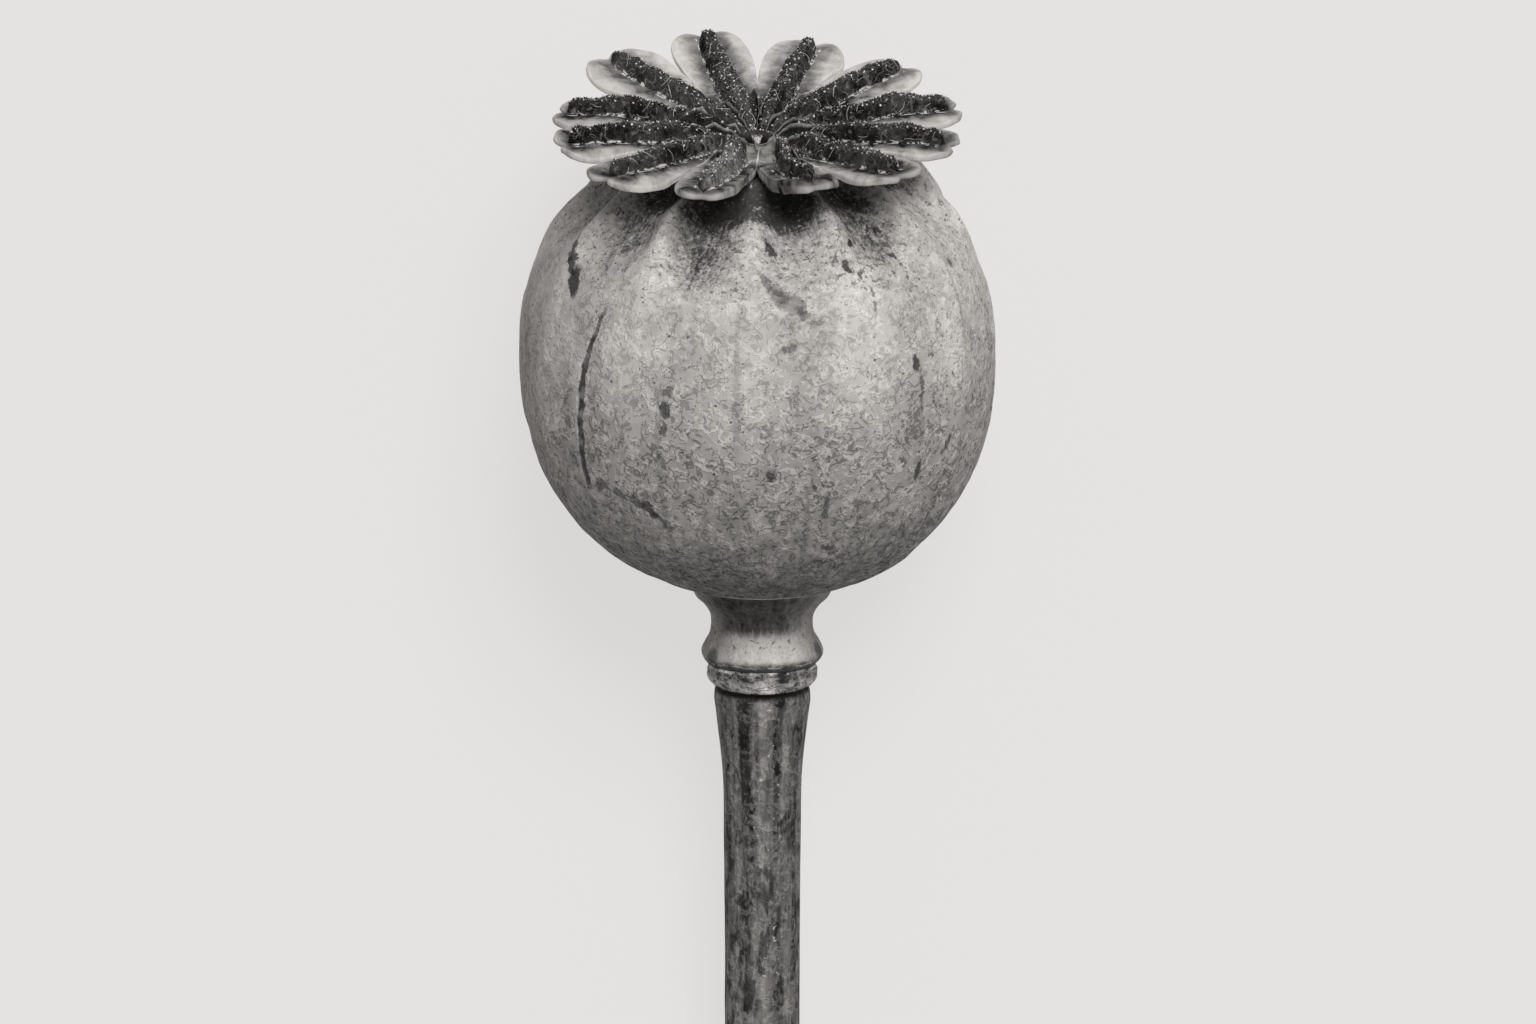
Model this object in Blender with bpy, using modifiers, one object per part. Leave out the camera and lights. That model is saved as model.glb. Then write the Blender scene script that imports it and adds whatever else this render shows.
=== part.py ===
"""A dried poppy seed pod with a length of its stalk, picked and lying on its side.

Everything is modelled upright about the pod's own axis, with the middle of the belly at the
origin, +Z towards the crown and -Y towards the side that shows. An empty then lays it down:
the belly rests on a small flat spot and the stalk on its cut end. Lengths are in metres.
"""

import math

import bmesh
import bpy
from mathutils import Euler, Matrix, Vector

MM = 0.001

# Driving dimensions
RAYS = 12
BELLY_RADIUS = 21.0 * MM
BELLY_TO_TOP_POLE = 20.6 * MM
BELLY_TO_BASE_POLE = 21.25 * MM
CROWN_HEIGHT = 19.4 * MM
CROWN_TILT = math.radians(8.4)
LOBE_RADIUS = 18.4 * MM
CREST_RADIUS = 17.3 * MM
STALK_END = -110.0 * MM
STALK_END_RADIUS = 3.3 * MM
STALK_NOD = math.radians(7.0)
SIDE_SHIFT = 0.45 * MM
FLAT_DEPTH = 0.45 * MM
GAP = 0.3 * MM

# The capsule's curve, a superellipse above and below the belly
TOP_POWER, TOP_ROOT = 2.28, 2.15
BASE_POWER, BASE_ROOT = 2.39, 2.15
SHOULDER_TOP = 17.3 * MM
BASE_SEAM = -20.4 * MM
CAPSULE_STEPS = 60

# Ribs: they run from base to crown, strong on the shoulder and faint on the belly
RIB_TURN = math.radians(-2.5)
SHOULDER_RIB = 1.1 * MM
BELLY_RIB = 0.12 * MM
BASE_RIB = 0.25 * MM

# The left shoulder is a little flatter than the right
DENT_DEPTH = 0.8 * MM
DENT_TURN, DENT_SPREAD = math.radians(-92), math.radians(30)
DENT_HEIGHT, DENT_REACH = 14.8 * MM, 3.0 * MM

# The neck under the crown, with a pore between each two ribs
NECK_RADIUS = 9.4 * MM
PORE_DEPTH = 1.1 * MM

# The crown: a shallow cone of a disc that divides into lobes
DISH_DEPTH = 2.4 * MM
CROWN_THICKNESS = 1.0 * MM
EDGE_THICKNESS = 0.65 * MM
SINUS_RADIUS = 11.2 * MM
CORNER_RADIUS = 13.6 * MM
LOBE_ROUNDNESS = 2.6
LOBE_OPENING = 0.1
NOTCH_DEPTH = 0.7 * MM
NOTCH_WIDTH = 0.14
HALF_LOBE = math.pi / RAYS

# How each lobe differs from the mean at its tip, clockwise from the far side: its lift and
# its extra reach in mm, its turn in degrees, its width, the droop of its left and its right
# wing in mm, and how far its rim curls down in mm
LOBE_LIFT = [0.97, -0.1, -0.3, -0.65, -0.35, 0.25, 1.3, 0.6, -0.4, -0.2, -1.3, 0.15]
LOBE_REACH = [0.2, 0.6, 0.25, -0.1, -0.2, 0.35, -0.1, 0.9, 0.15, -0.2, 0.0, 0.65]
LOBE_TURN = [-0.8, 1.0, 1.5, 2.1, 2.7, 2.0, -1.3, -0.9, 1.4, -2.5, 0.2, -0.4]
LOBE_WIDTH = [1.04, 1.01, 1.0, 1.04, 1.03, 1.0, 1.03, 1.02, 1.05, 1.08, 1.04, 1.08]
LEFT_DROOP = [0.0, -0.3, 0.0, 0.1, 0.15, 0.3, 0.45, -0.15, 0.75, 0.35, -0.2, 0.7]
RIGHT_DROOP = [0.75, 1.2, 0.2, 0.25, -0.1, -0.15, 0.7, 0.65, 0.7, 0.2, 0.35, -0.3]
RIM_CURL = [0.1, 0.1, 0.1, 0.1, 0.1, 0.25, 0.85, 0.45, 0.2, 0.1, 0.1, 0.1]

# The dark crest along the middle of each lobe
CREST_HUB = 4.3 * MM
CREST_HALF_WIDTH = 1.0 * MM
CREST_TIP_HALF_WIDTH = 0.75 * MM
CREST_HEIGHT = 0.9 * MM
CREST_EDGE = 0.2 * MM
PAPILLA_HEIGHT = 0.14 * MM
PAPILLA_PITCH = 1.6 * MM

STALK_SIDES = 20
STALK_BEND = 2.5 * MM
BEND_START = -62.0 * MM


def ramp(low, high, value):
    """0 below low and 1 above high, with a smooth rise between them."""
    share = min(1.0, max(0.0, (value - low) / (high - low)))
    return share * share * (3 - 2 * share)


def bell(value, centre, width):
    return math.exp(-(((value - centre) / width) ** 2))


def capsule_radius(height):
    """The radius of the round capsule, without its ribs."""
    if height > 0:
        share = 1 - (height / BELLY_TO_TOP_POLE) ** TOP_POWER
        return BELLY_RADIUS * max(0.0, share) ** (1 / TOP_ROOT)
    share = 1 - (-height / BELLY_TO_BASE_POLE) ** BASE_POWER
    return BELLY_RADIUS * max(0.0, share) ** (1 / BASE_ROOT)


def dish(radius):
    """Height of the crown's upper face above its centre."""
    return DISH_DEPTH * radius / LOBE_RADIUS


def nodded(place):
    """The stalk and foot stand a little to one side, and lean from the pod's own axis."""
    fold = Vector((0, 0, BASE_SEAM))
    angle = -STALK_NOD * ramp(0, 4 * MM, BASE_SEAM - place.z)
    aside = SIDE_SHIFT * ramp(4 * MM, 22 * MM, -place.z)
    return Matrix.Rotation(angle, 3, "X") @ (place - fold) + fold + Vector((aside, 0, 0))


def material(name, colour, roughness):
    made = bpy.data.materials.new(name)
    made.use_nodes = True
    shader = made.node_tree.nodes["Principled BSDF"]
    shader.inputs["Base Color"].default_value = (*colour, 1.0)
    shader.inputs["Roughness"].default_value = roughness
    shader.inputs["Metallic"].default_value = 0.0
    return made


def finished(obj, skin, sharp_angle=math.radians(50)):
    """Smooth shading and the part's own material."""
    obj.data.materials.clear()
    obj.data.materials.append(skin)
    obj.data.shade_smooth()
    obj.data.set_sharp_from_angle(angle=sharp_angle)
    return obj


def mesh_object(name, body, collection):
    mesh = bpy.data.meshes.new(name)
    body.to_mesh(mesh)
    body.free()
    obj = bpy.data.objects.new(name, mesh)
    collection.objects.link(obj)
    return obj


def turned(name, profile, steps, collection):
    """A closed turned solid. The profile is (radius, height) pairs from the top to the bottom."""
    outline = bmesh.new()
    points = [outline.verts.new((radius, 0, height)) for radius, height in profile]
    for upper, lower in zip(points, points[1:]):
        outline.edges.new((upper, lower))
    obj = mesh_object(name, outline, collection)
    screw = obj.modifiers.new("turn", "SCREW")
    screw.steps = screw.render_steps = steps
    screw.use_merge_vertices = True
    screw.merge_threshold = 0.00001
    bpy.context.view_layer.update()
    graph = bpy.context.evaluated_depsgraph_get()
    solid = bpy.data.meshes.new_from_object(obj.evaluated_get(graph))
    obj.modifiers.remove(screw)
    obj.data = solid
    solid.name = name
    return obj


def capsule_profile():
    """Down the outside: the seat under the crown, the neck, the body, the foot and its swelling."""
    under_crown = CROWN_HEIGHT - CROWN_THICKNESS - GAP
    seat = [(radius * MM, under_crown + dish(radius * MM)) for radius in (0, 3, 6, 8.4)]
    neck = [
        (NECK_RADIUS, seat[-1][1] - 0.15 * MM),
        (NECK_RADIUS + 0.2 * MM, 18.4 * MM),
        (NECK_RADIUS + 1.0 * MM, 17.82 * MM),
    ]
    top = math.asin(SHOULDER_TOP / BELLY_TO_TOP_POLE)
    upper = [BELLY_TO_TOP_POLE * math.sin(top * (1 - i / 10)) for i in range(10)]
    base = math.asin(BASE_SEAM / BELLY_TO_BASE_POLE)
    lower = [BELLY_TO_BASE_POLE * math.sin(base * i / 10) for i in range(11)]
    body = [(capsule_radius(height), height) for height in upper + lower]
    foot = [
        (6.45 * MM, -20.85 * MM),
        (6.28 * MM, -21.4 * MM),
        (5.95 * MM, -22.1 * MM),
        (5.31 * MM, -22.75 * MM),
        (4.72 * MM, -23.6 * MM),
        (4.53 * MM, -24.5 * MM),
        (4.66 * MM, -25.5 * MM),
        (5.14 * MM, -26.4 * MM),
        (5.44 * MM, -27.25 * MM),
        (5.24 * MM, -27.85 * MM),
        (4.86 * MM, -28.3 * MM),
        (0, -28.35 * MM),
    ]
    return seat + neck + body + foot


def rib_height(height):
    shoulder = SHOULDER_RIB * ramp(8 * MM, 16.5 * MM, height)
    base = BASE_RIB * bell(height, -17 * MM, 3.5 * MM)
    return shoulder + BELLY_RIB * bell(height, 0, 12 * MM) + base


def dent(angle, height):
    return DENT_DEPTH * bell(angle, DENT_TURN, DENT_SPREAD) * bell(height, DENT_HEIGHT, DENT_REACH)


def make_capsule(skin, collection):
    """The seed vessel: a turned body whose points are moved out to its ribs and in to its pores."""
    obj = turned("capsule", capsule_profile(), CAPSULE_STEPS, collection)
    for vertex in obj.data.vertices:
        x, y, height = vertex.co
        radius = math.hypot(x, y)
        angle = math.atan2(x, -y)
        rib = math.cos(RAYS * angle / 2) ** 4
        outward = Vector((radius, height)).normalized()
        if radius > NECK_RADIUS + 0.8 * MM:
            relief = rib_height(height) * (rib - 0.4) - dent(angle + RIB_TURN, height)
            radius += outward.x * relief
            height += outward.y * relief
        elif height > 0 and radius > 8 * MM:
            radius -= PORE_DEPTH * (1 - rib) ** 3
        angle += RIB_TURN
        across, away = radius * math.sin(angle), -radius * math.cos(angle)
        lean = math.tan(CROWN_TILT) * ramp(8 * MM, 17.5 * MM, height)
        vertex.co = nodded(Vector((across, away, height + lean * away)))
    return finished(obj, skin)


def rosette(name, columns, rows, shared_rows, point, collection):
    """A flat body of RAYS arms that are joined as far as shared_rows and apart beyond it.

    point(arm, row, across, side) gives a place on the upper (side 1) or lower (side 0) face.
    across runs from -1 to 1 over one arm.
    """
    body = bmesh.new()
    last = rows - 1
    for arm in range(RAYS):
        grid = [
            [[body.verts.new(point(arm, row, across, side)) for across in columns] for row in range(rows)]
            for side in (0, 1)
        ]
        lower, upper = grid
        for row in range(last):
            for k in range(len(columns) - 1):
                near, far = upper[row], upper[row + 1]
                body.faces.new((near[k], near[k + 1], far[k + 1], far[k]))
                near, far = lower[row], lower[row + 1]
                body.faces.new((near[k], far[k], far[k + 1], near[k + 1]))
            if row >= shared_rows - 1:
                for k in (0, -1):
                    body.faces.new((lower[row][k], upper[row][k], upper[row + 1][k], lower[row + 1][k]))
        for k in range(len(columns) - 1):
            body.faces.new((lower[last][k], lower[last][k + 1], upper[last][k + 1], upper[last][k]))
    bmesh.ops.remove_doubles(body, verts=body.verts, dist=0.000002)
    bmesh.ops.recalc_face_normals(body, faces=body.faces)
    return mesh_object(name, body, collection)


def on_arm(arm, radius, angle, height):
    """A place at this angle from an arm's middle, carried along as the arm lifts, reaches and turns.

    Arm 0 lies half a lobe to the left of the far side.
    """
    out = ramp(SINUS_RADIUS, LOBE_RADIUS, radius)
    turn = (2 * arm - 1) * HALF_LOBE + angle + math.radians(LOBE_TURN[arm]) * out
    reach = radius + LOBE_REACH[arm] * MM * out
    return Vector((reach * math.sin(turn), reach * math.cos(turn), height + LOBE_LIFT[arm] * MM * out))


def lobe_face(arm, radius, across):
    """Height of the upper face of a lobe, whose wings droop a little towards their edges."""
    droop = (LEFT_DROOP if across < 0 else RIGHT_DROOP)[arm] * MM
    return dish(radius) - droop * abs(across) ** 3 * ramp(SINUS_RADIUS, LOBE_RADIUS, radius)


def make_crown(skin, collection):
    """The disc on top of the pod, with a lobe for each ray and a notch at each lobe's tip."""
    columns = [-1, -0.88, -0.6, -0.24, 0, 0.24, 0.6, 0.88, 1]
    inner = [0, 2.4 * MM, 5.4 * MM, 8.4 * MM, SINUS_RADIUS]
    outer = [0.25, 0.5, 0.77, 1.0]
    widened_by = 0.4

    def point(arm, row, across, side):
        curl = 0.0
        if row < len(inner):
            radius, width = inner[row], HALF_LOBE
        else:
            share = outer[row - len(inner)]
            bulge = math.sqrt(1 - abs(across) ** LOBE_ROUNDNESS)
            notch = NOTCH_DEPTH * bell(across, 0, NOTCH_WIDTH)
            end = CORNER_RADIUS + (LOBE_RADIUS - CORNER_RADIUS) * bulge - notch
            radius = SINUS_RADIUS + share * (end - SINUS_RADIUS)
            width = HALF_LOBE * (1 - LOBE_OPENING * share**0.7)
            width *= 1 + (LOBE_WIDTH[arm] - 1) * ramp(0, widened_by, share)
            curl = RIM_CURL[arm] * MM * ramp(outer[-2], 1, share)
        height = lobe_face(arm, radius, across) - curl
        if side == 0:
            thin = ramp(SINUS_RADIUS, LOBE_RADIUS, radius)
            height -= CROWN_THICKNESS + (EDGE_THICKNESS - CROWN_THICKNESS) * thin
        return on_arm(arm, radius, across * width, height)

    obj = rosette("crown", columns, len(inner) + len(outer), len(inner), point, collection)
    return finished(obj, skin)


def make_stigma_rays(skin, collection):
    """The dark crests: one star, a ray along the middle of each lobe, with its papillae as relief."""
    columns = [-1, -0.8, -0.42, 0, 0.42, 0.8, 1]
    inner = [0, 1.4 * MM, 2.8 * MM, CREST_HUB]
    along = 16

    def point(arm, row, across, side):
        if row < len(inner):
            radius, angle = inner[row], across * HALF_LOBE
        else:
            share = (row - len(inner) + 1) / along
            narrow = ramp(0.5, 1, share)
            half_width = CREST_HALF_WIDTH + (CREST_TIP_HALF_WIDTH - CREST_HALF_WIDTH) * narrow
            half_width *= math.sqrt(1 - 0.75 * share**14)
            radius = CREST_HUB + share * (CREST_RADIUS - CREST_HUB) - 0.5 * MM * across**2 * narrow
            angle = math.atan2(across * half_width, radius)
        height = lobe_face(arm, radius, angle / HALF_LOBE) + GAP
        if side == 1:
            rise = CREST_HEIGHT * ramp(1.0 * MM, 5.0 * MM, radius)
            bumps = math.sin(2 * math.pi * radius / PAPILLA_PITCH + 1.7 * arm + math.pi * across)
            bumps *= PAPILLA_HEIGHT * ramp(3 * MM, 6 * MM, radius)
            height += CREST_EDGE + rise * (1 - across**4) + bumps * (1 - across**2)
        return on_arm(arm, radius, angle, height)

    obj = rosette("stigma_rays", columns, len(inner) + along, len(inner), point, collection)
    return finished(obj, skin)


def stalk_bend(height):
    """The stalk's sideways drift, past the stretch near the pod that is straight."""
    share = max(0.0, (BEND_START - height) / (BEND_START - STALK_END))
    return STALK_BEND * share**2


def make_stalk(skin, collection):
    """The stalk with the ring at its head where the petals once sat, and its plain cut end."""
    ring = [
        (0, -28.65 * MM),
        (4.80 * MM, -28.7 * MM),
        (4.98 * MM, -29.25 * MM),
        (4.90 * MM, -29.85 * MM),
        (4.62 * MM, -30.35 * MM),
    ]
    taper = [
        (4.40 * MM, -30.75 * MM),
        (4.36 * MM, -31.6 * MM),
        (4.08 * MM, -33.7 * MM),
        (3.72 * MM, -37.4 * MM),
        (3.55 * MM, -41.1 * MM),
        (3.43 * MM, -50.4 * MM),
        (3.39 * MM, -61.6 * MM),
        (3.37 * MM, -74.0 * MM),
        (3.35 * MM, -86.0 * MM),
        (3.32 * MM, -98.0 * MM),
        (STALK_END_RADIUS, STALK_END),
        (0, STALK_END),
    ]
    obj = turned("stalk", ring + taper, STALK_SIDES, collection)
    for vertex in obj.data.vertices:
        place = Vector(vertex.co)
        place.x += stalk_bend(place.z)
        vertex.co = nodded(place)
    return finished(obj, skin, math.radians(35))


def lean_angle():
    """How far the pod leans back for its flat spot and the stalk's cut end to be level, and how high."""
    heights = [i * 0.05 * MM for i in range(-200, 1)]
    rim = nodded(Vector((0, STALK_END_RADIUS, STALK_END)))
    low, high = 0.0, math.pi / 4
    for _ in range(40):
        lean = (low + high) / 2
        reach = max(capsule_radius(h) * math.cos(lean) - h * math.sin(lean) for h in heights)
        drop = reach - FLAT_DEPTH
        if drop + rim.z * math.sin(lean) - rim.y * math.cos(lean) > 0:
            low = lean
        else:
            high = lean
    return lean, drop


def lay_down(parts, collection):
    """Lays the pod on its side, with the side that shows facing up, and centres it over the origin."""
    lean, drop = lean_angle()
    axis = bpy.data.objects.new("pod_axis", None)
    collection.objects.link(axis)
    axis.rotation_euler = Euler((lean - math.pi / 2, 0, 0))
    axis.location = (0, 0, drop)
    for obj in parts:
        obj.parent = axis
    bpy.context.view_layer.update()
    corners = [obj.matrix_world @ vertex.co for obj in parts for vertex in obj.data.vertices]
    for side in (0, 1):
        values = [corner[side] for corner in corners]
        axis.location[side] = -(min(values) + max(values)) / 2


def cut_flat_spot(capsule, cutters):
    """A small flat where the belly meets the surface, so that the pod doesn't roll."""
    bpy.ops.mesh.primitive_cube_add(size=2 * BELLY_RADIUS)
    cutter = bpy.context.object
    cutter.name = "surface_below"
    for collection in cutter.users_collection:
        collection.objects.unlink(cutter)
    cutters.objects.link(cutter)
    cutter.location = (0, capsule.matrix_world.translation.y, -BELLY_RADIUS)
    cutter.hide_render = True
    cutter.display_type = "WIRE"
    flat = capsule.modifiers.new("flat spot", "BOOLEAN")
    flat.operation = "DIFFERENCE"
    flat.object = cutter


def main():
    for obj in list(bpy.data.objects):
        bpy.data.objects.remove(obj, do_unlink=True)
    pod = bpy.data.collections.new("poppy_seed_pod")
    cutters = bpy.data.collections.new("cutters")
    bpy.context.scene.collection.children.link(pod)
    bpy.context.scene.collection.children.link(cutters)

    husk = material("chalky_husk", (0.42, 0.40, 0.385), 0.75)
    blade = material("pale_lobe", (0.38, 0.365, 0.35), 0.65)
    crest = material("dark_crest", (0.035, 0.034, 0.033), 0.8)
    stem = material("weathered_stem", (0.17, 0.165, 0.16), 0.75)

    capsule = make_capsule(husk, pod)
    crown = make_crown(blade, pod)
    rays = make_stigma_rays(crest, pod)
    stalk = make_stalk(stem, pod)
    for obj in (crown, rays):
        obj.location = (0, 0, CROWN_HEIGHT)
        obj.rotation_euler = Euler((CROWN_TILT, 0, 0))
    lay_down([capsule, crown, rays, stalk], pod)
    bpy.context.view_layer.update()
    cut_flat_spot(capsule, cutters)


main()
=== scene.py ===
# %% [markdown]
# # A dried poppy seed pod
#
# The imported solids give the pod's shape and its place on the floor. This script dresses them:
# each solid is replaced by a finer skin of the same shape, with the folds, grains and stains
# that a weathered pod has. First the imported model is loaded, and its box is kept, because
# nothing that is added may make the pod larger.

import math
from types import SimpleNamespace

import bmesh
import bpy
import numpy as np
from mathutils import Matrix, Vector, noise


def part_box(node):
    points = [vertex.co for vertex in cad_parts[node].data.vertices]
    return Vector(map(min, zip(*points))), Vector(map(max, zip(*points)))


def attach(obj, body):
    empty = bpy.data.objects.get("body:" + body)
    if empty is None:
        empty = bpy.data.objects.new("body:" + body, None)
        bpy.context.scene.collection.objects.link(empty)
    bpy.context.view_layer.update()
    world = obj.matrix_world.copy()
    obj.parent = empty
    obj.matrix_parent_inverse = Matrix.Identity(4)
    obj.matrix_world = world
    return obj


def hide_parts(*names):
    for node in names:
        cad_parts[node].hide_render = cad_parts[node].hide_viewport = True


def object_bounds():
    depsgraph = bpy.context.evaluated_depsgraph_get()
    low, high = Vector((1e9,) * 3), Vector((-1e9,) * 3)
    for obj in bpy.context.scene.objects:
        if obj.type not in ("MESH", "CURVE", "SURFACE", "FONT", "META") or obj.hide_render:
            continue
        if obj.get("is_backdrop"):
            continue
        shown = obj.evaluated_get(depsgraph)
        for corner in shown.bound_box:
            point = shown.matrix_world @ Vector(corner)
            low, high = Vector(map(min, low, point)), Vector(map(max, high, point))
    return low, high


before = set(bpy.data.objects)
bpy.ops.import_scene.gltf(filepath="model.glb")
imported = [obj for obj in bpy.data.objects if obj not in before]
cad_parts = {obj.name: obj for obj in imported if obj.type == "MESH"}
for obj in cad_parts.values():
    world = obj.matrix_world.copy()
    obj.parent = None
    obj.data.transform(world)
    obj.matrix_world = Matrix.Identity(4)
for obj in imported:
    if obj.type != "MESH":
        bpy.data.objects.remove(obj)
cad_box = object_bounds()
print("packed nodes:", sorted(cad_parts))

# %% [markdown]
# ## Measures
#
# A pod is easiest to think of upright, with its own axis as Z. All shapes below are worked out
# that way, in millimetres, with the middle of the belly at the origin and -Y towards the side
# that shows. One matrix then lays everything down. The measures are those of the solids.

# %% Name the measures, in millimetres
RAYS = 12
BELLY_RADIUS = 21.0
BELLY_TO_TOP_POLE, TOP_POWER, TOP_ROOT = 20.6, 2.28, 2.15
BELLY_TO_BASE_POLE, BASE_POWER, BASE_ROOT = 21.25, 2.39, 2.15
SHOULDER_TOP, BASE_SEAM = 17.3, -20.4
CROWN_HEIGHT, CROWN_TILT, DISH_DEPTH = 19.4, math.radians(8.4), 2.4
LOBE_RADIUS, SINUS_RADIUS, CORNER_RADIUS = 18.4, 11.2, 13.6
HALF_LOBE = math.pi / RAYS
RIB_TURN = math.radians(-2.5)
STALK_END, STALK_END_RADIUS = -110.0, 3.3
STALK_NOD, NOD_RUN = math.radians(7.0), 4.0
SIDE_SHIFT, SHIFT_START, SHIFT_END = 0.45, 4.0, 22.0
FLAT_DEPTH = 0.45


def ramp(low, high, value):
    """0 below low and 1 above high, with a smooth rise between them."""
    share = np.clip((value - low) / (high - low), 0, 1)
    return share * share * (3 - 2 * share)


def bell(value, centre, width):
    return np.exp(-(((value - centre) / width) ** 2))


def capsule_radius(height):
    """The radius of the round capsule, without its ribs."""
    upper = np.clip(1 - (np.abs(height) / BELLY_TO_TOP_POLE) ** TOP_POWER, 0, 1) ** (1 / TOP_ROOT)
    lower = np.clip(1 - (np.abs(height) / BELLY_TO_BASE_POLE) ** BASE_POWER, 0, 1) ** (1 / BASE_ROOT)
    return BELLY_RADIUS * np.where(height > 0, upper, lower)


def nodded(points):
    """The foot and the stalk stand a little aside, and lean from the pod's own axis."""
    x, y, z = np.asarray(points, float).reshape(-1, 3).T
    turn = -STALK_NOD * ramp(0, NOD_RUN, BASE_SEAM - z)
    aside = SIDE_SHIFT * ramp(SHIFT_START, SHIFT_END, -z)
    above = z - BASE_SEAM
    return np.column_stack(
        [
            x + aside,
            y * np.cos(turn) - above * np.sin(turn),
            y * np.sin(turn) + above * np.cos(turn) + BASE_SEAM,
        ]
    )


print("shoulder radius", round(float(capsule_radius(SHOULDER_TOP)), 2), "mm")

# %% [markdown]
# ## Laying the pod down
#
# A picked pod rests on its belly and on the cut end of its stalk. The angle at which both
# touch the floor is found by halving an interval, which needs no formula for the round belly.
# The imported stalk's box then says how far along the floor the pod lies.

# %% Find how the pod lies
def lying():
    """How far the pod leans back from the floor's normal, and how high its middle is, in mm."""
    heights = np.linspace(-10, 0, 201)
    rim = nodded([[0, STALK_END_RADIUS, STALK_END]])[0]
    low, high = 0.0, math.pi / 4
    for _ in range(40):
        lean = (low + high) / 2
        reach = (capsule_radius(heights) * math.cos(lean) - heights * math.sin(lean)).max()
        drop = reach - FLAT_DEPTH
        if drop + rim[2] * math.sin(lean) - rim[1] * math.cos(lean) > 0:
            low = lean
        else:
            high = lean
    return lean, drop


LEAN, MIDDLE_HEIGHT = lying()
cut_edge = nodded([[0, -STALK_END_RADIUS, STALK_END]])[0]
cut_reach = cut_edge[1] * math.sin(LEAN) + cut_edge[2] * math.cos(LEAN)
belly = Vector((0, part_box("stalk")[0].y - cut_reach / 1000, MIDDLE_HEIGHT / 1000))
lay_down = Matrix.Translation(belly) @ Matrix.Rotation(LEAN - math.pi / 2, 4, "X") @ Matrix.Scale(0.001, 4)
crown_seat = Matrix.Translation((0, 0, CROWN_HEIGHT)) @ Matrix.Rotation(CROWN_TILT, 4, "X")
print("lean", round(math.degrees(LEAN), 3), "degrees; belly centre", [round(v, 5) for v in belly])

# %% [markdown]
# ## Camera
#
# The photo looks at the pod from 17.5 degrees above its belly. With the pod lying down, that
# is a camera almost straight above it. A long lens from half a metre gives the flat view of a
# close-up. One pixel of the photo is taken as 0.088 mm, which makes the belly 42 mm across.

# %% Set the camera
PHOTO_SIZE = (1536, 1024)
BELLY_PIXEL = (757, 355)
MM_PER_PIXEL = 42 / 476
VIEW_ELEVATION = math.radians(17.5)

camera_data = bpy.data.cameras.new("camera")
camera_data.lens, camera_data.sensor_width = 150, 36
camera_data.clip_start, camera_data.clip_end = 0.01, 20
camera = bpy.data.objects.new("camera", camera_data)
bpy.context.scene.collection.objects.link(camera)
bpy.context.scene.camera = camera

look = VIEW_ELEVATION - LEAN
right = Vector((1, 0, 0))
up = Vector((0, math.cos(look), -math.sin(look)))
toward = Vector((0, math.sin(look), math.cos(look)))
distance = PHOTO_SIZE[0] * MM_PER_PIXEL / 1000 * camera_data.lens / camera_data.sensor_width
aside = (PHOTO_SIZE[0] / 2 - BELLY_PIXEL[0]) * MM_PER_PIXEL / 1000
below = (PHOTO_SIZE[1] / 2 - BELLY_PIXEL[1]) * MM_PER_PIXEL / 1000
camera.matrix_world = Matrix.Translation(belly + right * aside - up * below + toward * distance) @ (
    Matrix((right, up, toward)).transposed().to_4x4()
)
print("camera", round(distance, 4), "m from the belly's plane,", round(math.degrees(look), 2), "degrees from above")

# %% [markdown]
# ## Floor and light
#
# A studio floor for small things is often a lit white sheet: it glows a little itself, so
# shadows on it stay faint. The main light is broad and comes from beyond the crown, a little
# from the right, and the pale surroundings fill the shadows. A sun lamp with a wide angle
# gives such a soft light that is the same all over the floor.

# %% Lay the floor and light the scene
LIGHT_TILT, LIGHT_SIDE = math.radians(28), math.radians(20)

bpy.ops.mesh.primitive_plane_add(size=6)
floor = bpy.context.object
floor.name = "floor"
floor_paper = bpy.data.materials.new("lit_floor")
floor_paper.use_nodes = True
paper = floor_paper.node_tree.nodes["Principled BSDF"]
paper.inputs["Base Color"].default_value = (0.1, 0.099, 0.098, 1)
paper.inputs["Roughness"].default_value = 0.9
paper.inputs["Specular IOR Level"].default_value = 0.1
paper.inputs["Emission Color"].default_value = (1.0, 0.975, 0.965, 1)
paper.inputs["Emission Strength"].default_value = 0.665
floor.data.materials.append(floor_paper)
floor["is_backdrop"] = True

sun_data = bpy.data.lights.new("broad_light", "SUN")
sun_data.energy = 2.9
sun_data.angle = math.radians(30)
sun = bpy.data.objects.new("broad_light", sun_data)
bpy.context.scene.collection.objects.link(sun)
toward_sun = Vector((math.sin(LIGHT_SIDE), math.cos(LIGHT_SIDE), 1 / math.tan(LIGHT_TILT)))
sun.rotation_mode = "QUATERNION"
sun.rotation_quaternion = toward_sun.to_track_quat("Z", "Y")

world = bpy.data.worlds.new("pale_room")
bpy.context.scene.world = world
world.use_nodes = True
world.node_tree.nodes["Background"].inputs["Color"].default_value = (1, 0.99, 0.98, 1)
world.node_tree.nodes["Background"].inputs["Strength"].default_value = 0.34
bpy.context.scene.view_settings.view_transform = "Standard"
print("light", round(math.degrees(LIGHT_TILT)), "degrees from above")

# %% [markdown]
# ## Finishes
#
# A finish is a tree of shader nodes. Long trees are easier to read as sums, so one small class
# wraps a socket, and adding or multiplying two of them adds the Math node. A second class is
# the finish itself, with one method through which every other node comes. Dry plants are all
# but grey, so a finish is one tone from dark to pale, laid between two named colours.

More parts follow.
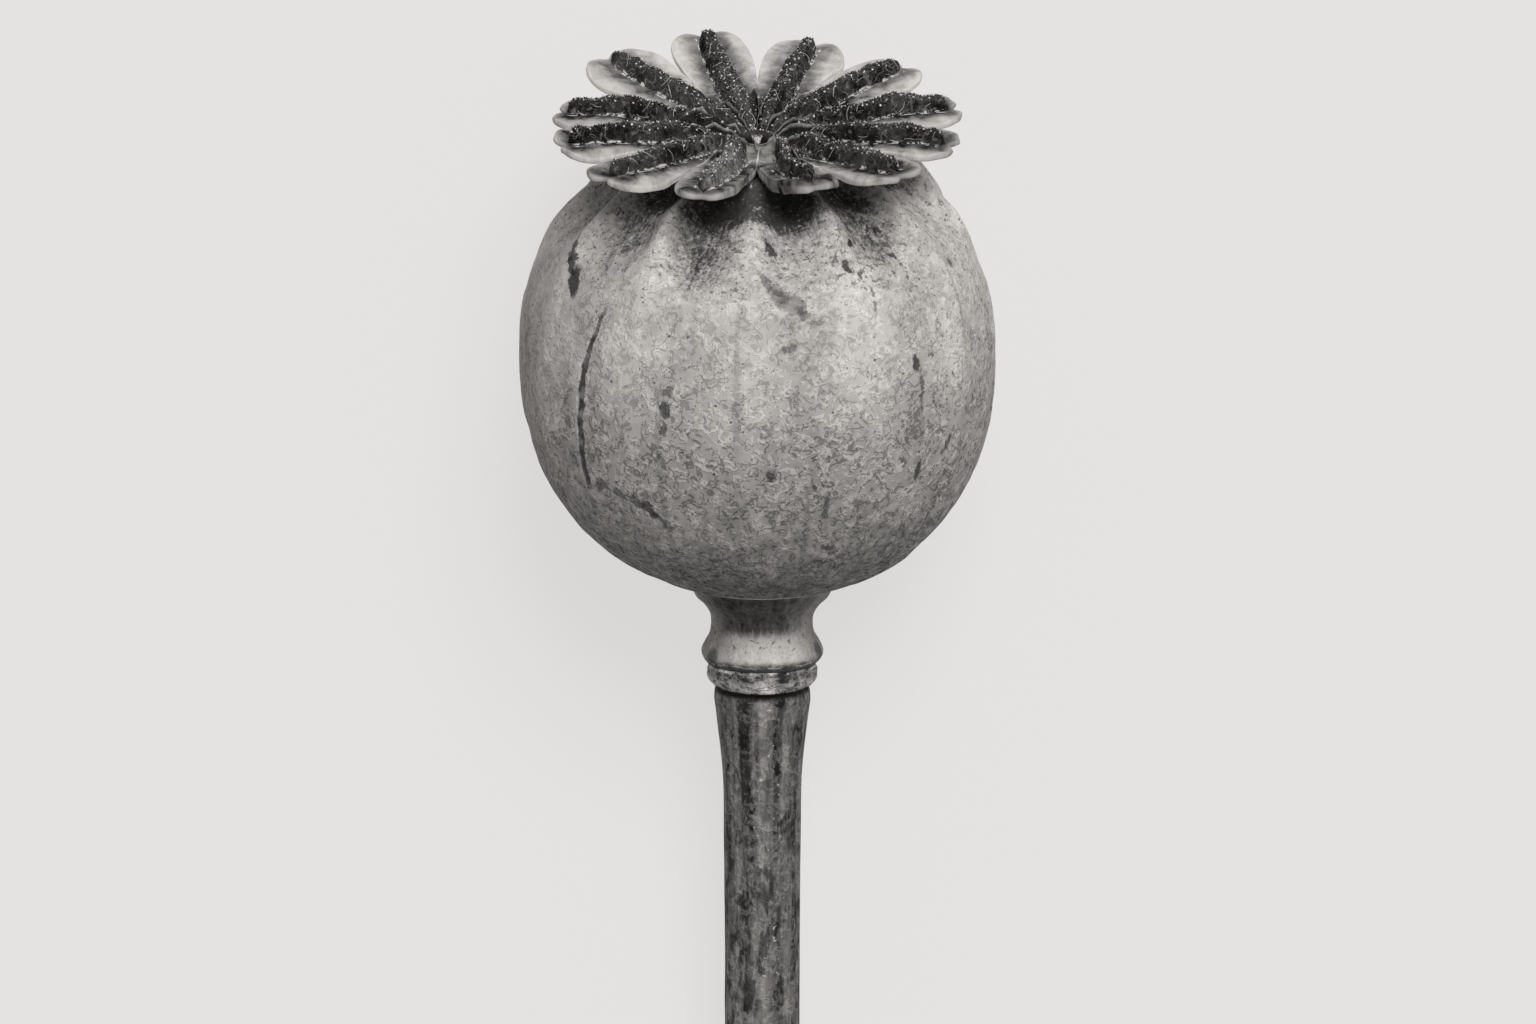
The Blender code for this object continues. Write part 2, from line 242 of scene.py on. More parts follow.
# %% Name the darkest and the palest colour of each finish
# The darkest husk and stalk colours are also where painted shade ends.
HUSK_DIRT_AND_SHADE, HUSK_BLOOM = (0.010, 0.0096, 0.0092, 1), (0.66, 0.632, 0.605, 1)
CROWN_DIRT, CROWN_RIM = (0.008, 0.0078, 0.0075, 1), (0.66, 0.635, 0.608, 1)
CREST_DARK, GRAIN_PALE = (0.006, 0.0058, 0.0056, 1), (0.72, 0.70, 0.68, 1)
THREAD_DARK, THREAD_PALE = (0.08, 0.078, 0.075, 1), (0.66, 0.64, 0.61, 1)
STALK_DIRT_AND_SHADE = (0.004, 0.0038, 0.0036, 1)
print("dirt", HUSK_DIRT_AND_SHADE[:3], "and bloom", HUSK_BLOOM[:3])

# %% Write shader maths as sums
class Tone:
    """A number that varies over a surface. Sums with it add Math nodes to its finish."""

    def __init__(self, finish, socket):
        self.finish, self.socket = finish, socket

    def __add__(self, other):
        return self.finish.maths("ADD", self, other)

    def __sub__(self, other):
        return self.finish.maths("SUBTRACT", self, other)

    def __rsub__(self, other):
        return self.finish.maths("SUBTRACT", other, self)

    def __mul__(self, other):
        return self.finish.maths("MULTIPLY", self, other)

    def __truediv__(self, other):
        return self.finish.maths("DIVIDE", self, other)

    def __abs__(self):
        return self.finish.maths("ABSOLUTE", self)

    def swing(self, reach):
        """A noise from 0 to 1 turned into one that swings about zero, by half the reach each way."""
        return (self - 0.5) * reach

    __radd__ = __add__
    __rmul__ = __mul__


class Finish:
    """A material and the nodes that colour it."""

    def __init__(self, name):
        self.material = bpy.data.materials.new(name)
        self.material.use_nodes = True
        self.tree = self.material.node_tree
        self.shader = self.tree.nodes["Principled BSDF"]

    def node(self, kind, settings=None, sockets=None, output=0):
        """Adds a node: its settings first, then the values or links of its sockets."""
        made = self.tree.nodes.new("ShaderNode" + kind)
        for key, value in (settings or {}).items():
            setattr(made, key, value)
        for key, value in (sockets or {}).items():
            if isinstance(value, Tone):
                self.tree.links.new(value.socket, made.inputs[key])
            else:
                made.inputs[key].default_value = value
        return Tone(self, made.outputs[output])

    def maths(self, operation, *values):
        return self.node("Math", {"operation": operation}, dict(enumerate(values)))

    def most(self, first, second):
        """The larger of two tones, at each point."""
        return self.maths("MAXIMUM", first, second)

    def attribute(self, name, output=1):
        """A measure that the mesh carries: output 1 is a vector, and 2 is a number."""
        return self.node("Attribute", {"attribute_name": name}, output=output)

    def split(self, vector):
        parts = self.node("SeparateXYZ", {}, {0: vector})
        return [Tone(self, socket) for socket in parts.socket.node.outputs]

    def joined(self, x, y, z=0.0):
        return self.node("CombineXYZ", {}, {0: x, 1: y, 2: z})

    def scaled(self, vector, factors):
        return self.node("VectorMath", {"operation": "MULTIPLY"}, {0: vector, 1: factors})

    def length(self, vector):
        return self.node("VectorMath", {"operation": "LENGTH"}, {0: vector}, output=1)

    def clouds(self, where, per_mm, detail=2.0, rough=0.5, swirl=0.0, seed=0.0):
        """Noise from 0 to 1 with about per_mm lumps to a millimetre."""
        sockets = {"Vector": where, "Scale": per_mm, "Detail": detail, "Roughness": rough, "Distortion": swirl}
        return self.node("TexNoise", {"noise_dimensions": "4D"}, sockets | {"W": seed})

    def hairs(self, where, per_mm, half_width, seed=0.0, share=0.5):
        """Thin curved lines, where one noise passes its middle value, broken up by a second noise."""
        field = self.clouds(where, per_mm, 1.0, 0.5, 0.9, seed)
        gaps = self.clouds(where, per_mm * 0.9, 1.0, seed=seed + 7)
        line = self.near(field - 0.5, 0.4 * half_width, half_width)
        return line * self.fade(gaps, 0.53 - 0.1 * share, 0.6 - 0.1 * share)

    def pushed(self, where, per_mm, reach):
        """The same place, moved by noise as far as reach in mm, which gives marks ragged edges."""
        lumps = self.node("TexNoise", {}, {"Vector": where, "Scale": per_mm, "Detail": 3.0}, output=1)
        centred = self.node("VectorMath", {"operation": "SUBTRACT"}, {0: lumps, 1: (0.5, 0.5, 0.5)})
        moved = self.scaled(centred, (2 * reach,) * 3)
        return self.node("VectorMath", {"operation": "ADD"}, {0: where, 1: moved})

    def fade(self, value, low, high, start=0.0, end=1.0):
        """start below low and end above high, with a smooth change between them."""
        sockets = {"Value": value, "From Min": low, "From Max": high, "To Min": start, "To Max": end}
        return self.node("MapRange", {"interpolation_type": "SMOOTHSTEP"}, sockets)

    def near(self, value, inside, outside):
        """1 where the value is within inside of zero, fading to 0 at outside."""
        return self.fade(abs(value), inside, outside, 1, 0)

    def blend(self, share, first, second):
        """A colour between two colours."""
        sockets = {0: share, 6: first, 7: second}
        return self.node("Mix", {"data_type": "RGBA", "clamp_factor": True}, sockets, output=2)

    def wear(self, colour, roughness, relief, gloss=0.25):
        """Connects the finish: its colour, its roughness and its relief in mm."""
        bump = self.node("Bump", {}, {"Strength": 1.0, "Distance": 0.001, "Height": relief})
        self.tree.links.new(colour.socket, self.shader.inputs["Base Color"])
        self.tree.links.new(bump.socket, self.shader.inputs["Normal"])
        if isinstance(roughness, Tone):
            self.tree.links.new(roughness.socket, self.shader.inputs["Roughness"])
        else:
            self.shader.inputs["Roughness"].default_value = roughness
        self.shader.inputs["Specular IOR Level"].default_value = gloss
        print(self.material.name, "has", len(self.tree.nodes), "nodes")
        return self.material


# %% [markdown]
# ## Making meshes
#
# Every skin here is a sheet of rows and columns that is bent round to meet itself. The helper
# welds the places where it meets, so that each skin is closed, and turns its faces outwards.
# It also writes measures to the faces' corners, such as each point's place on the upright pod,
# for the finishes to read. A corner can hold its own value on each side of a weld, so the
# measures stay right where the sheet meets itself.

# %% Make a closed skin from points and faces
WELD = 1e-6


def welded(name, points, faces, measures, finish, seat=None):
    """A piece from points in mm on the upright pod. measures maps a name to a value per point."""
    seat = lay_down if seat is None else lay_down @ seat
    turn = np.array(seat)
    placed = np.asarray(points) @ turn[:3, :3].T + turn[:3, 3]
    placed[:, 2] = np.maximum(placed[:, 2], 0.0)
    mesh = bpy.data.meshes.new(name)
    mesh.from_pydata(placed.tolist(), [], faces)
    corners = np.empty(len(mesh.loops), dtype=np.int32)
    mesh.loops.foreach_get("vertex_index", corners)
    for key, values in measures.items():
        kind, field = ("FLOAT_VECTOR", "vector") if np.ndim(values) == 2 else ("FLOAT", "value")
        layer = mesh.attributes.new(key, kind, "CORNER")
        layer.data.foreach_set(field, np.asarray(values, np.float32)[corners].ravel())
    body = bmesh.new()
    body.from_mesh(mesh)
    bmesh.ops.remove_doubles(body, verts=body.verts, dist=WELD)
    bmesh.ops.recalc_face_normals(body, faces=body.faces)
    body.to_mesh(mesh)
    body.free()
    mesh.shade_smooth()
    mesh.materials.append(finish)
    piece = bpy.data.objects.new(name, mesh)
    bpy.context.scene.collection.objects.link(piece)
    open_edges = sum(1 for edge in edge_uses(mesh) if edge != 2)
    print(name, len(mesh.polygons), "faces,", open_edges, "open edges")
    return piece


def edge_uses(mesh):
    """How many faces meet at each edge."""
    uses = np.zeros(len(mesh.edges), dtype=np.int32)
    loops = np.empty(len(mesh.loops), dtype=np.int32)
    mesh.loops.foreach_get("edge_index", loops)
    np.add.at(uses, loops, 1)
    return uses


def sheet_faces(rows, columns, first=0, flip=False):
    """Quads between neighbouring rows and columns of a grid of points."""
    faces = []
    for row in range(rows - 1):
        for column in range(columns - 1):
            a = first + row * columns + column
            quad = (a, a + 1, a + columns + 1, a + columns)
            faces.append(quad[::-1] if flip else quad)
    return faces


def lumps(points, size, octaves=2, seed=0.0):
    """Noise from -1 to 1 at each point, with lumps of about this size in mm."""
    offset = Vector((seed, 2.3 * seed, -1.7 * seed))
    places = points.reshape(-1, 3).tolist()
    values = [noise.fractal(Vector(place) / size + offset, 1.0, 2.0, octaves) for place in places]
    return np.array(values).reshape(points.shape[:-1])


def smooth_line(points, count):
    """Resamples a line of points with a rounded curve through them."""
    points = np.asarray(points, float)
    ends = np.vstack([2 * points[0] - points[1], points, 2 * points[-1] - points[-2]])
    where = np.linspace(0, len(points) - 1, count)
    start = np.minimum(where.astype(int), len(points) - 2)
    t = (where - start)[:, None]
    a, b, c, d = (ends[start + i] for i in range(4))
    return 0.5 * (2 * b + (c - a) * t + (2 * a - 5 * b + 4 * c - d) * t**2 + (3 * b - a - 3 * c + d) * t**3)


# %% [markdown]
# ## The husk
#
# The husk is the wall of the seed vessel. While it dried, it shrank onto the ribs where its
# seed chambers meet, so it has 12 ribs that are sharp under the crown and fade on the belly,
# and hollows between them. It could be sculpted, but ribs follow a rule, so a turned profile
# that is moved out to the ribs is easier to keep true to the solid. Noise adds the dents.

# %% Shape the husk
HUSK_COLUMNS = 372
SHOULDER_RIB, BELLY_RIB, BASE_RIB = 1.1, 0.12, 0.25
NECK_RADIUS, PORE_DEPTH = 9.4, 1.1
FRONT_RIB = -2.5  # degrees round from the front
UNDER_CROWN = CROWN_HEIGHT - 1.3


def husk_profile():
    """Radius and height down the outside, from the seat under the crown to the foot's underside."""
    dish = [DISH_DEPTH * radius / LOBE_RADIUS for radius in (0, 4, 8.4)]
    seat = [(0, UNDER_CROWN + dish[0]), (4, UNDER_CROWN + dish[1]), (8.4, UNDER_CROWN + dish[2])]
    neck = smooth_line([(9.4, 19.0), (9.55, 18.4), (10.3, 17.85), (capsule_radius(17.3), 17.3)], 10)[:-1]
    turn = np.linspace(math.asin(SHOULDER_TOP / BELLY_TO_TOP_POLE), 0, 92)
    upper = BELLY_TO_TOP_POLE * np.sin(turn)
    turn = np.linspace(0, math.asin(-BASE_SEAM / BELLY_TO_BASE_POLE), 96)[1:]
    lower = -BELLY_TO_BASE_POLE * np.sin(turn)
    heights = np.concatenate([upper, lower])
    body = np.column_stack([capsule_radius(heights), heights])
    crease = [tuple(body[-1]), (6.45, -20.85), (6.28, -21.4), (5.95, -22.1), (5.31, -22.75), (4.72, -23.6)]
    bulge = [(4.53, -24.5), (4.66, -25.5), (5.14, -26.4), (5.44, -27.25), (5.24, -27.85), (4.86, -28.3)]
    foot = smooth_line(crease + bulge, 46)[1:]
    return np.vstack([seat, neck, body, foot, [(0, -28.35)]])


profile = husk_profile()
columns = np.linspace(-math.pi, math.pi, HUSK_COLUMNS + 1)
radius, angle = (grid.ravel() for grid in np.meshgrid(profile[:, 0], columns, indexing="ij"))
height = np.repeat(profile[:, 1], len(columns))
upright = np.column_stack([radius * np.sin(angle), -radius * np.cos(angle), height])

on_body = (radius > NECK_RADIUS + 0.8) & (height > BASE_SEAM)
degrees = np.degrees(angle)
wander = 0.03 * lumps(upright, 8.0, seed=3.0) * ramp(18, 12, height)
wave = np.cos(RAYS * (angle - RIB_TURN + wander) / 2)
rib = wave**4
flatter = 1 - 0.5 * bell(degrees, FRONT_RIB, 14)
rib_height = (
    0.9 * SHOULDER_RIB * flatter * ramp(8, 16.5, height)
    + BELLY_RIB * bell(height, 0, 12)
    + BASE_RIB * bell(height, -17, 3.5)
)
relief = rib_height * (rib - 0.4)
# A sharp edge on each rib of the shoulder, a faint one on the belly, and hollows under the crown.
relief += 0.2 * wave**24 * ramp(9, 13, height)
relief += 0.16 * (wave**40 - 0.6) * ramp(-16, -8, height) * ramp(13, 9, height)
relief -= 0.35 * (1 - rib) ** 2 * ramp(11, 16, height)
# The shoulder is sunken on the left, and a little on the right.
relief -= 0.85 * bell(degrees, -92, 30) * bell(height, 14.8, 3.0)
relief -= 0.25 * bell(degrees, 88, 26) * bell(height, 16.2, 2.2)
# Dents, large and small. On the belly nothing stands out past the solid.
relief += 0.2 * (lumps(upright, 7.0, seed=7.0) - 0.55) * ramp(18, 15, height)
relief += 0.07 * lumps(upright, 2.2, 2, seed=9.0)
relief = np.where(on_body, np.minimum(relief, np.where(height < 8, 0.04, 9.0)), 0.0)
pores = (height > 0) & (radius > 8) & ~on_body
relief -= np.where(pores, PORE_DEPTH * (1 - rib) ** 3, 0)
foot = height <= BASE_SEAM
relief += np.where(foot & (radius > 3), 0.07 * lumps(upright, 1.3, 3, seed=12.0), 0)

outward = np.column_stack([radius, height])
outward /= np.linalg.norm(outward, axis=1)[:, None]
outward[foot | pores] = (1, 0)
full_radius, full_height = radius + outward[:, 0] * relief, height + outward[:, 1] * relief
upright = np.column_stack([full_radius * np.sin(angle), -full_radius * np.cos(angle), full_height])
lean_of_crown = math.tan(CROWN_TILT) * ramp(8, 17.5, height)
shaped = upright.copy()
shaped[:, 2] += lean_of_crown * -full_radius * np.cos(angle)
shaped = nodded(shaped)
print("husk relief from", round(relief.min(), 2), "to", round(relief.max(), 2), "mm")

# %% [markdown]
# ### Where grime and painted shade gather
#
# Rain and dust leave grime in the hollows under the crown, and round the foot. Under the crown
# the dark is also painted shade of the crown's overhang, in wedges that end in a point some way
# down. It is worked out here as a soft measure of each point, and the finish turns that into
# dark patches with ragged edges.

# %% Measure the grime and the painted shade
HOLLOWS = {
    # angle round the pod in degrees: how dark, and the height of its tip
    -77.5: (0.75, 11.5),
    -47.5: (0.9, 11.0),
    -17.5: (0.95, 9.5),
    12.5: (0.55, 12.5),
    42.5: (0.85, 12.0),
    72.5: (0.4, 13.0),
}


def wedge_of_grime_and_shade(centre, strength, tip):
    """A dark wedge of grime and painted shade, widest under the crown, to a point at the height of its tip."""
    half_width = 1.0 + 5.4 * ramp(tip - 1, 17.0, height)
    off = np.abs((angle - math.radians(centre) + math.pi) % (2 * math.pi) - math.pi) * BELLY_RADIUS
    across = np.clip(1 - (off / half_width) ** 2, 0, 1)
    return strength * across * ramp(tip - 1.5, 16.5, height) ** 0.8


grime_and_shade = np.zeros(len(height))
for centre, (strength, tip) in HOLLOWS.items():
    grime_and_shade = np.maximum(grime_and_shade, wedge_of_grime_and_shade(centre, strength, tip))
for centre in range(90, 270, 30):
    grime_and_shade = np.maximum(grime_and_shade, wedge_of_grime_and_shade(centre + 12.5, 0.7, 12.5))
# Just under the crown all is dark between the ribs, with an uneven edge: grime and painted
# shade of the crown. In front the shade under the crown's rim is painted darker still.
middle_rib = bell(degrees, FRONT_RIB, 12)
uneven = height + 1.3 * lumps(upright, 2.6, 2, seed=21.0)
grime_and_shade = np.maximum(grime_and_shade, 1.1 * ramp(15.4, 17.6, uneven) * (1 - (0.8 - 0.2 * middle_rib) * rib))
grime_and_shade += 1.0 * ramp(16.8, 17.6, height) * bell(degrees, 0, 38)
print("grime covers", round(100 * float((grime_and_shade > 0.4).mean()), 1), "% of the husk's points")

# %% [markdown]
# ### The husk's finish
#
# A dry husk is chalky: a waxy bloom that is rubbed and stained, with fine wrinkles that swirl,
# dark specks, and some long marks. The bloom's tone is a sum of noises of different sizes.
# The marks lie at places on the unrolled husk, as measured along its girth and its height, in
# mm. Each is an ellipse whose edge is pushed about by noise, so that it looks like a stain.

# %% List the marks on the husk
SMUDGES = [
    # along the girth, height, turn in degrees, half length, half width, darkness
    (-23.0, 12.3, -62, 1.5, 0.42, 0.8),
    (-20.7, 9.9, -62, 1.6, 0.75, 0.88),
    (-22.0, 11.2, -62, 1.3, 0.5, 0.85),
    (-8.0, 2.2, 75, 0.7, 0.4, 0.6),
    (-8.1, 0.6, 80, 0.7, 0.5, 0.75),
    (-8.3, -1.2, 70, 0.7, 0.45, 0.68),
    (-15.4, -7.5, 30, 0.9, 0.5, 0.6),
    (-13.4, -7.9, -20, 0.9, 0.45, 0.6),
    (-11.7, -8.3, -35, 0.9, 0.5, 0.6),
    (-10.5, -8.9, -45, 1.1, 0.6, 0.78),
    (-9.4, -9.8, -50, 0.9, 0.35, 0.6),
    (1.6, 15.7, -40, 1.0, 0.4, 0.85),
    (1.0, 12.6, -55, 1.0, 0.45, 0.55),
    (2.2, 11.3, -45, 1.4, 1.0, 0.42),
    (2.2, 11.5, -35, 0.7, 0.35, 0.5),
    (3.5, 10.2, -30, 1.5, 1.15, 0.52),
    (4.3, 9.3, -30, 0.8, 0.65, 0.55),
    (5.6, 8.4, 0, 0.8, 0.22, 0.4),
    (3.0, 6.4, 10, 0.7, 0.4, 0.5),
    (11.5, 15.2, 10, 0.65, 0.3, 0.9),
    (16.3, 16.1, 20, 0.45, 0.25, 0.85),
    (17.4, 15.8, 0, 0.4, 0.25, 0.8),
    (16.8, 14.7, -30, 0.75, 0.35, 0.65),
    (16.7, 13.7, -30, 0.5, 0.35, 0.8),
    (9.8, 13.4, -60, 0.65, 0.4, 0.85),
    (10.8, 12.4, -60, 0.45, 0.3, 0.7),
    (11.7, 10.6, -70, 0.6, 0.25, 0.6),
    (11.5, 9.2, 80, 0.5, 0.22, 0.5),
    (-6.8, 14.0, 85, 0.9, 0.16, 0.7),
    (-7.0, 12.4, 85, 0.9, 0.14, 0.6),
    (23.7, 10.8, 60, 0.45, 0.35, 0.65),
    (15.4, 3.7, 85, 0.8, 0.4, 0.82),
    (15.9, 1.3, 85, 1.8, 0.26, 0.55),
    (1.2, -4.9, 80, 0.75, 0.55, 0.75),
    (15.8, -6.3, 70, 0.9, 0.4, 0.75),
    (13.8, -4.8, -60, 0.6, 0.3, 0.55),
    (19.6, -4.4, 60, 1.2, 0.3, 0.6),
    (6.4, -8.5, 85, 1.2, 0.3, 0.6),
    (7.0, -12.5, -10, 0.9, 0.35, 0.6),
    (6.6, -14.1, -15, 0.9, 0.3, 0.6),
    (-4.7, -13.8, 10, 0.9, 0.35, 0.5),
]
SEAMS = [
    # along the girth, from and to which height, darkness
    (-1.7, -6, 12, 0.2),
    (-8.8, -14, 4, 0.2),
    (15.9, -9, 6, 0.22),
    (-5.0, -18, -6, 0.25),
    (4.6, -16, -3, 0.25),
    (22.5, 2, 13, 0.3),
]
print(len(SMUDGES), "smudges and", len(SEAMS), "seams")


# %% Mix the bloom and its wrinkles
def husk_tone(skin, place, unrolled, rise):
    """The bloom: broad clouds, streaks down the pod, mottling and fine grain."""
    broad = skin.clouds(place, 0.14, 2, 0.5)
    patches = skin.clouds(place, 0.38, 3, 0.55, 0.4)
    streaks = skin.clouds(skin.scaled(unrolled, (0.55, 0.06, 1.0)), 1.0, 3, 0.6)
    mottle = skin.clouds(place, 1.1, 4, 0.6)
    grain = skin.clouds(place, 4.5, 3, 0.7)
    tone = 0.59 + broad.swing(0.36) + patches.swing(0.44) + streaks.swing(0.34)
    tone = tone + mottle.swing(0.18) + grain.swing(0.12)
    # Lighter above the belly and darker towards the base: partly dirt, partly painted light and shade.
    tone = tone * skin.fade(rise, 9, -4, 1.12, 0.92) * skin.fade(rise, -11, -19.5, 1, 0.72)
    return tone, mottle * 0.06 + grain * 0.02


def wrinkles(skin, place, unrolled, rise):
    """Fine curls and nicks, painted pale and dark as the highlights and shade of wrinkles, denser towards the base,
    and creases that run down the shoulder and along the base.
    """
    curls = skin.most(skin.hairs(place, 0.8, 0.055, 1.0, 0.55), skin.hairs(place, 1.3, 0.065, 2.0, 0.4))
    nicks = skin.most(skin.hairs(place, 0.75, 0.045, 3.0, 0.5), skin.hairs(place, 1.6, 0.06, 4.0, 0.3))
    along = skin.clouds(skin.scaled(unrolled, (1.7, 0.25, 1.0)), 1.0, 3, 0.65)
    streaked = skin.most(skin.fade(rise, 6, 12), skin.fade(rise, -9, -16) * 0.7)
    few = skin.fade(rise, 10, -8, 0.75, 1.2)
    # The curls are painted pale as highlights and the nicks dark as shade, on top of their bumps.
    tone = (curls * 0.2 - nicks * 0.22) * few + (along - 0.5) * streaked * 0.5
    return tone, (curls * 0.035 - nicks * 0.035) * few + along * streaked * 0.08


# %% [markdown]
# ### Marks on the husk
#
# Each mark darkens the bloom by a share, so all the shares that are left multiply. Pushing the
# place about with two noises, a coarse one and a fine one, frays the edges of the ellipses. The
# long dark line on the left is a parabola on the unrolled husk, with a pale edge beside it.

# %% Lay the marks on the bloom
def stains_on_husk(skin, unrolled, rise):
    """How much of the bloom is left where the smudges, the seams and the long dark line lie."""
    ragged = skin.pushed(skin.pushed(unrolled, 1.1, 0.6), 3.5, 0.3)
    left = 1.0
    for u, v, turn, half_length, half_width, darkness in SMUDGES:
        sockets = {
            "Vector": ragged,
            "Location": (u, v, 0),
            "Rotation": (0, 0, math.radians(turn)),
            "Scale": (half_length, half_width, 1),
        }
        inside = skin.node("Mapping", {"vector_type": "TEXTURE"}, sockets)
        off = skin.length(skin.scaled(inside, (1, 1, 0)))
        left = skin.fade(off, 0.7, 1.15, 1 - darkness, 1) * left
    ragged_girth = skin.split(skin.pushed(unrolled, 1.8, 0.25))[0]
    for u, low, high, darkness in SEAMS:
        seam = skin.near(ragged_girth - u, 0.08, 0.45)
        seam = seam * skin.fade(rise, low, low + 4) * skin.fade(rise, high, high - 4)
        left = (1 - seam * darkness) * left
    line_girth = -17.1 + rise * 0.105 + rise * rise * 0.0125
    wobbling = skin.pushed(skin.pushed(unrolled, 0.7, 0.35), 2.4, 0.16)
    half_width = skin.fade(rise, 8, 0, 0.22, 0.36)
    from_line = (skin.split(wobbling)[0] - line_girth) / half_width
    ends = skin.fade(rise, -8.6, -7.2) * skin.fade(rise, 9.0, 7.4)
    on_line = skin.near(from_line, 0.7, 1.15) * ends
    pale_edge = skin.near(from_line + 1.5, 0.15, 0.45) * ends
    worn = skin.fade(skin.clouds(unrolled, 1.1, 2), 0.38, 0.58, 0.62, 0.88)
    return left * (1 - on_line * worn) * (1 + pale_edge * 0.14), on_line


def specks_on_husk(skin, place, rise, girth):
    """Dark specks: round ones everywhere, and crumbs of dirt that crowd towards crown and base."""
    left = 1.0
    for per_mm, radius, share, seed in ((0.8, 0.13, 0.4, 0.0), (1.7, 0.17, 0.28, 3.0)):
        where = skin.node("VectorMath", {"operation": "ADD"}, {0: place, 1: (seed,) * 3})
        sockets = {"Vector": where, "Scale": per_mm}
        off = skin.node("TexVoronoi", {}, sockets)
        chance = skin.split(skin.node("TexVoronoi", {}, sockets, output=1))[0]
        speck = skin.fade(off, 0.55 * radius, radius, 1, 0) * skin.fade(chance, share, share - 0.05)
        left = (1 - speck * 0.7) * left
    crowd = skin.most(skin.fade(rise, 5, 15), skin.fade(rise, -7, -17))
    spot = skin.joined((girth - 12.5) * 0.16, (rise - 14.0) * 0.22)
    crowd = skin.most(crowd, skin.fade(skin.length(spot), 1.2, 0.5) * 1.25)
    crowd = skin.most(crowd, skin.fade(girth, 11, 18) * 0.75)
    crumbs = skin.fade(skin.clouds(place, 1.9, 4, 0.7, seed=9.0) + crowd * 0.1, 0.66, 0.71)
    return left * (1 - crumbs * 0.62)


# %% Mix the foot's tone, and put the husk's finish together
def foot_tone(skin, place, girth, rise, patches):
    """The foot: a waist that is darker in front, a bulge painted pale in front as a highlight, and painted shade
    under it.
    """
    flow = skin.clouds(skin.joined(girth * 0.22, rise * 0.25), 1.0, 3, 0.6)
    mottle = skin.clouds(place, 1.6, 3, 0.6)
    tone = 0.38 + flow.swing(0.45) + mottle.swing(0.3)
    drips = skin.clouds(skin.joined(girth * 0.3, rise * 0.12), 1.0, 3, 0.6, seed=3.0)
    centre = skin.fade(abs(girth + 3.5 + flow.swing(14)), 24, 9)
    waist = skin.fade(rise + patches.swing(1.8) + drips.swing(3.6), -25.5, -24.7) * centre
    spots = skin.fade(skin.clouds(place, 2.6, 2, 0.5, seed=8.0), 0.62, 0.66)
    spots = spots * skin.fade(rise, -26.9, -26.0)
    bulge = skin.fade(rise, -24.4, -25.8) * skin.fade(rise, -27.9, -27.1)
    # The bulge's front is painted pale as a highlight, and painted shade lies under the bulge.
    painted_front_highlight = skin.fade(abs(girth - 2), 27, 4)
    painted_shade_under = skin.fade(rise + patches.swing(1.7) + mottle.swing(0.8), -27.3, -28.0)
    crack = skin.near(rise + 27.85 + drips.swing(0.7), 0.03, 0.1) * skin.fade(mottle, 0.42, 0.55)
    from_left = skin.length(skin.joined((girth + 20.5) * 0.25, rise + 27.2))
    from_right = skin.length(skin.joined((girth - 26) * 0.25, rise + 26.9))
    stains = skin.fade(abs(from_left + (mottle - 0.5)), 1.0, 0.5)
    stains = skin.most(stains, skin.fade(from_right, 1.0, 0.5))
    tone = tone - waist * 0.275 + bulge * (painted_front_highlight * 0.5 - 0.04)
    return tone * (1 - painted_shade_under * 0.72) * (1 - spots * 0.6) * (1 - stains * 0.6) + crack * 0.35


def husk_finish():
    skin = Finish("weathered_husk")
    place = skin.attribute("place")
    unrolled = skin.attribute("unrolled")
    girth, rise, _ = skin.split(unrolled)
    grime_and_shade = skin.attribute("grime_and_shade", 2)

    tone, height = husk_tone(skin, place, unrolled, rise)
    lines, line_height = wrinkles(skin, place, unrolled, rise)
    bloom_left, on_line = stains_on_husk(skin, unrolled, rise)
    ribs = skin.attribute("rib", 2)
    tone = tone + (ribs - 0.35) * skin.fade(rise, -6, 6) * 0.12
    tone = (tone + lines) * bloom_left * specks_on_husk(skin, place, rise, girth)

    patches = skin.clouds(place, 1.1, 4, 0.65, seed=5.0)
    # Darker towards the base, partly dirt and partly painted shade, and darker on the left as painted shade.
    lower = skin.fade(rise, 4, -19)
    tone = tone * (1 - lower * (0.48 + patches.swing(1.35))) * skin.fade(girth, -9, -29, 1, 0.73)
    streaks = skin.clouds(skin.scaled(unrolled, (2.2, 0.35, 1.0)), 1.0, 3, 0.65, seed=2.0)
    crumbly = skin.clouds(place, 3.4, 3, 0.75, seed=6.0)
    # Grime and painted shade under the crown darken the bloom, in blots.
    blotted = grime_and_shade * (0.75 + patches.swing(1.3) + streaks.swing(1.3) + crumbly.swing(2.3))
    tone = tone * (1 - skin.fade(blotted, 0.08, 1.0) * 0.9)
    # A painted rim light: a pale band along the belly's lower edge, strongest in front.
    painted_rim_light = skin.fade(rise, -19.5, -19.8) * skin.fade(abs(girth), 34, 10, 0.6, 1)
    tone = tone + painted_rim_light * 1.1
    foot = skin.fade(rise, -20.36, -20.44)
    tone = tone * (1 - foot) + foot_tone(skin, place, girth, rise, patches) * foot

    colour = skin.blend(tone, HUSK_DIRT_AND_SHADE, HUSK_BLOOM)
    height = height + line_height - on_line * 0.08
    return skin.wear(colour, 0.82 - tone * 0.12, height, 0.15)


# %% Make the husk
unrolled = np.column_stack([angle * BELLY_RADIUS, height, radius])
husk_skin = welded(
    "husk_skin",
    shaped,
    sheet_faces(len(profile), len(columns)),
    {"place": upright, "unrolled": unrolled, "grime_and_shade": grime_and_shade, "rib": rib},
    husk_finish(),
)
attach(husk_skin, "root")
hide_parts("capsule")

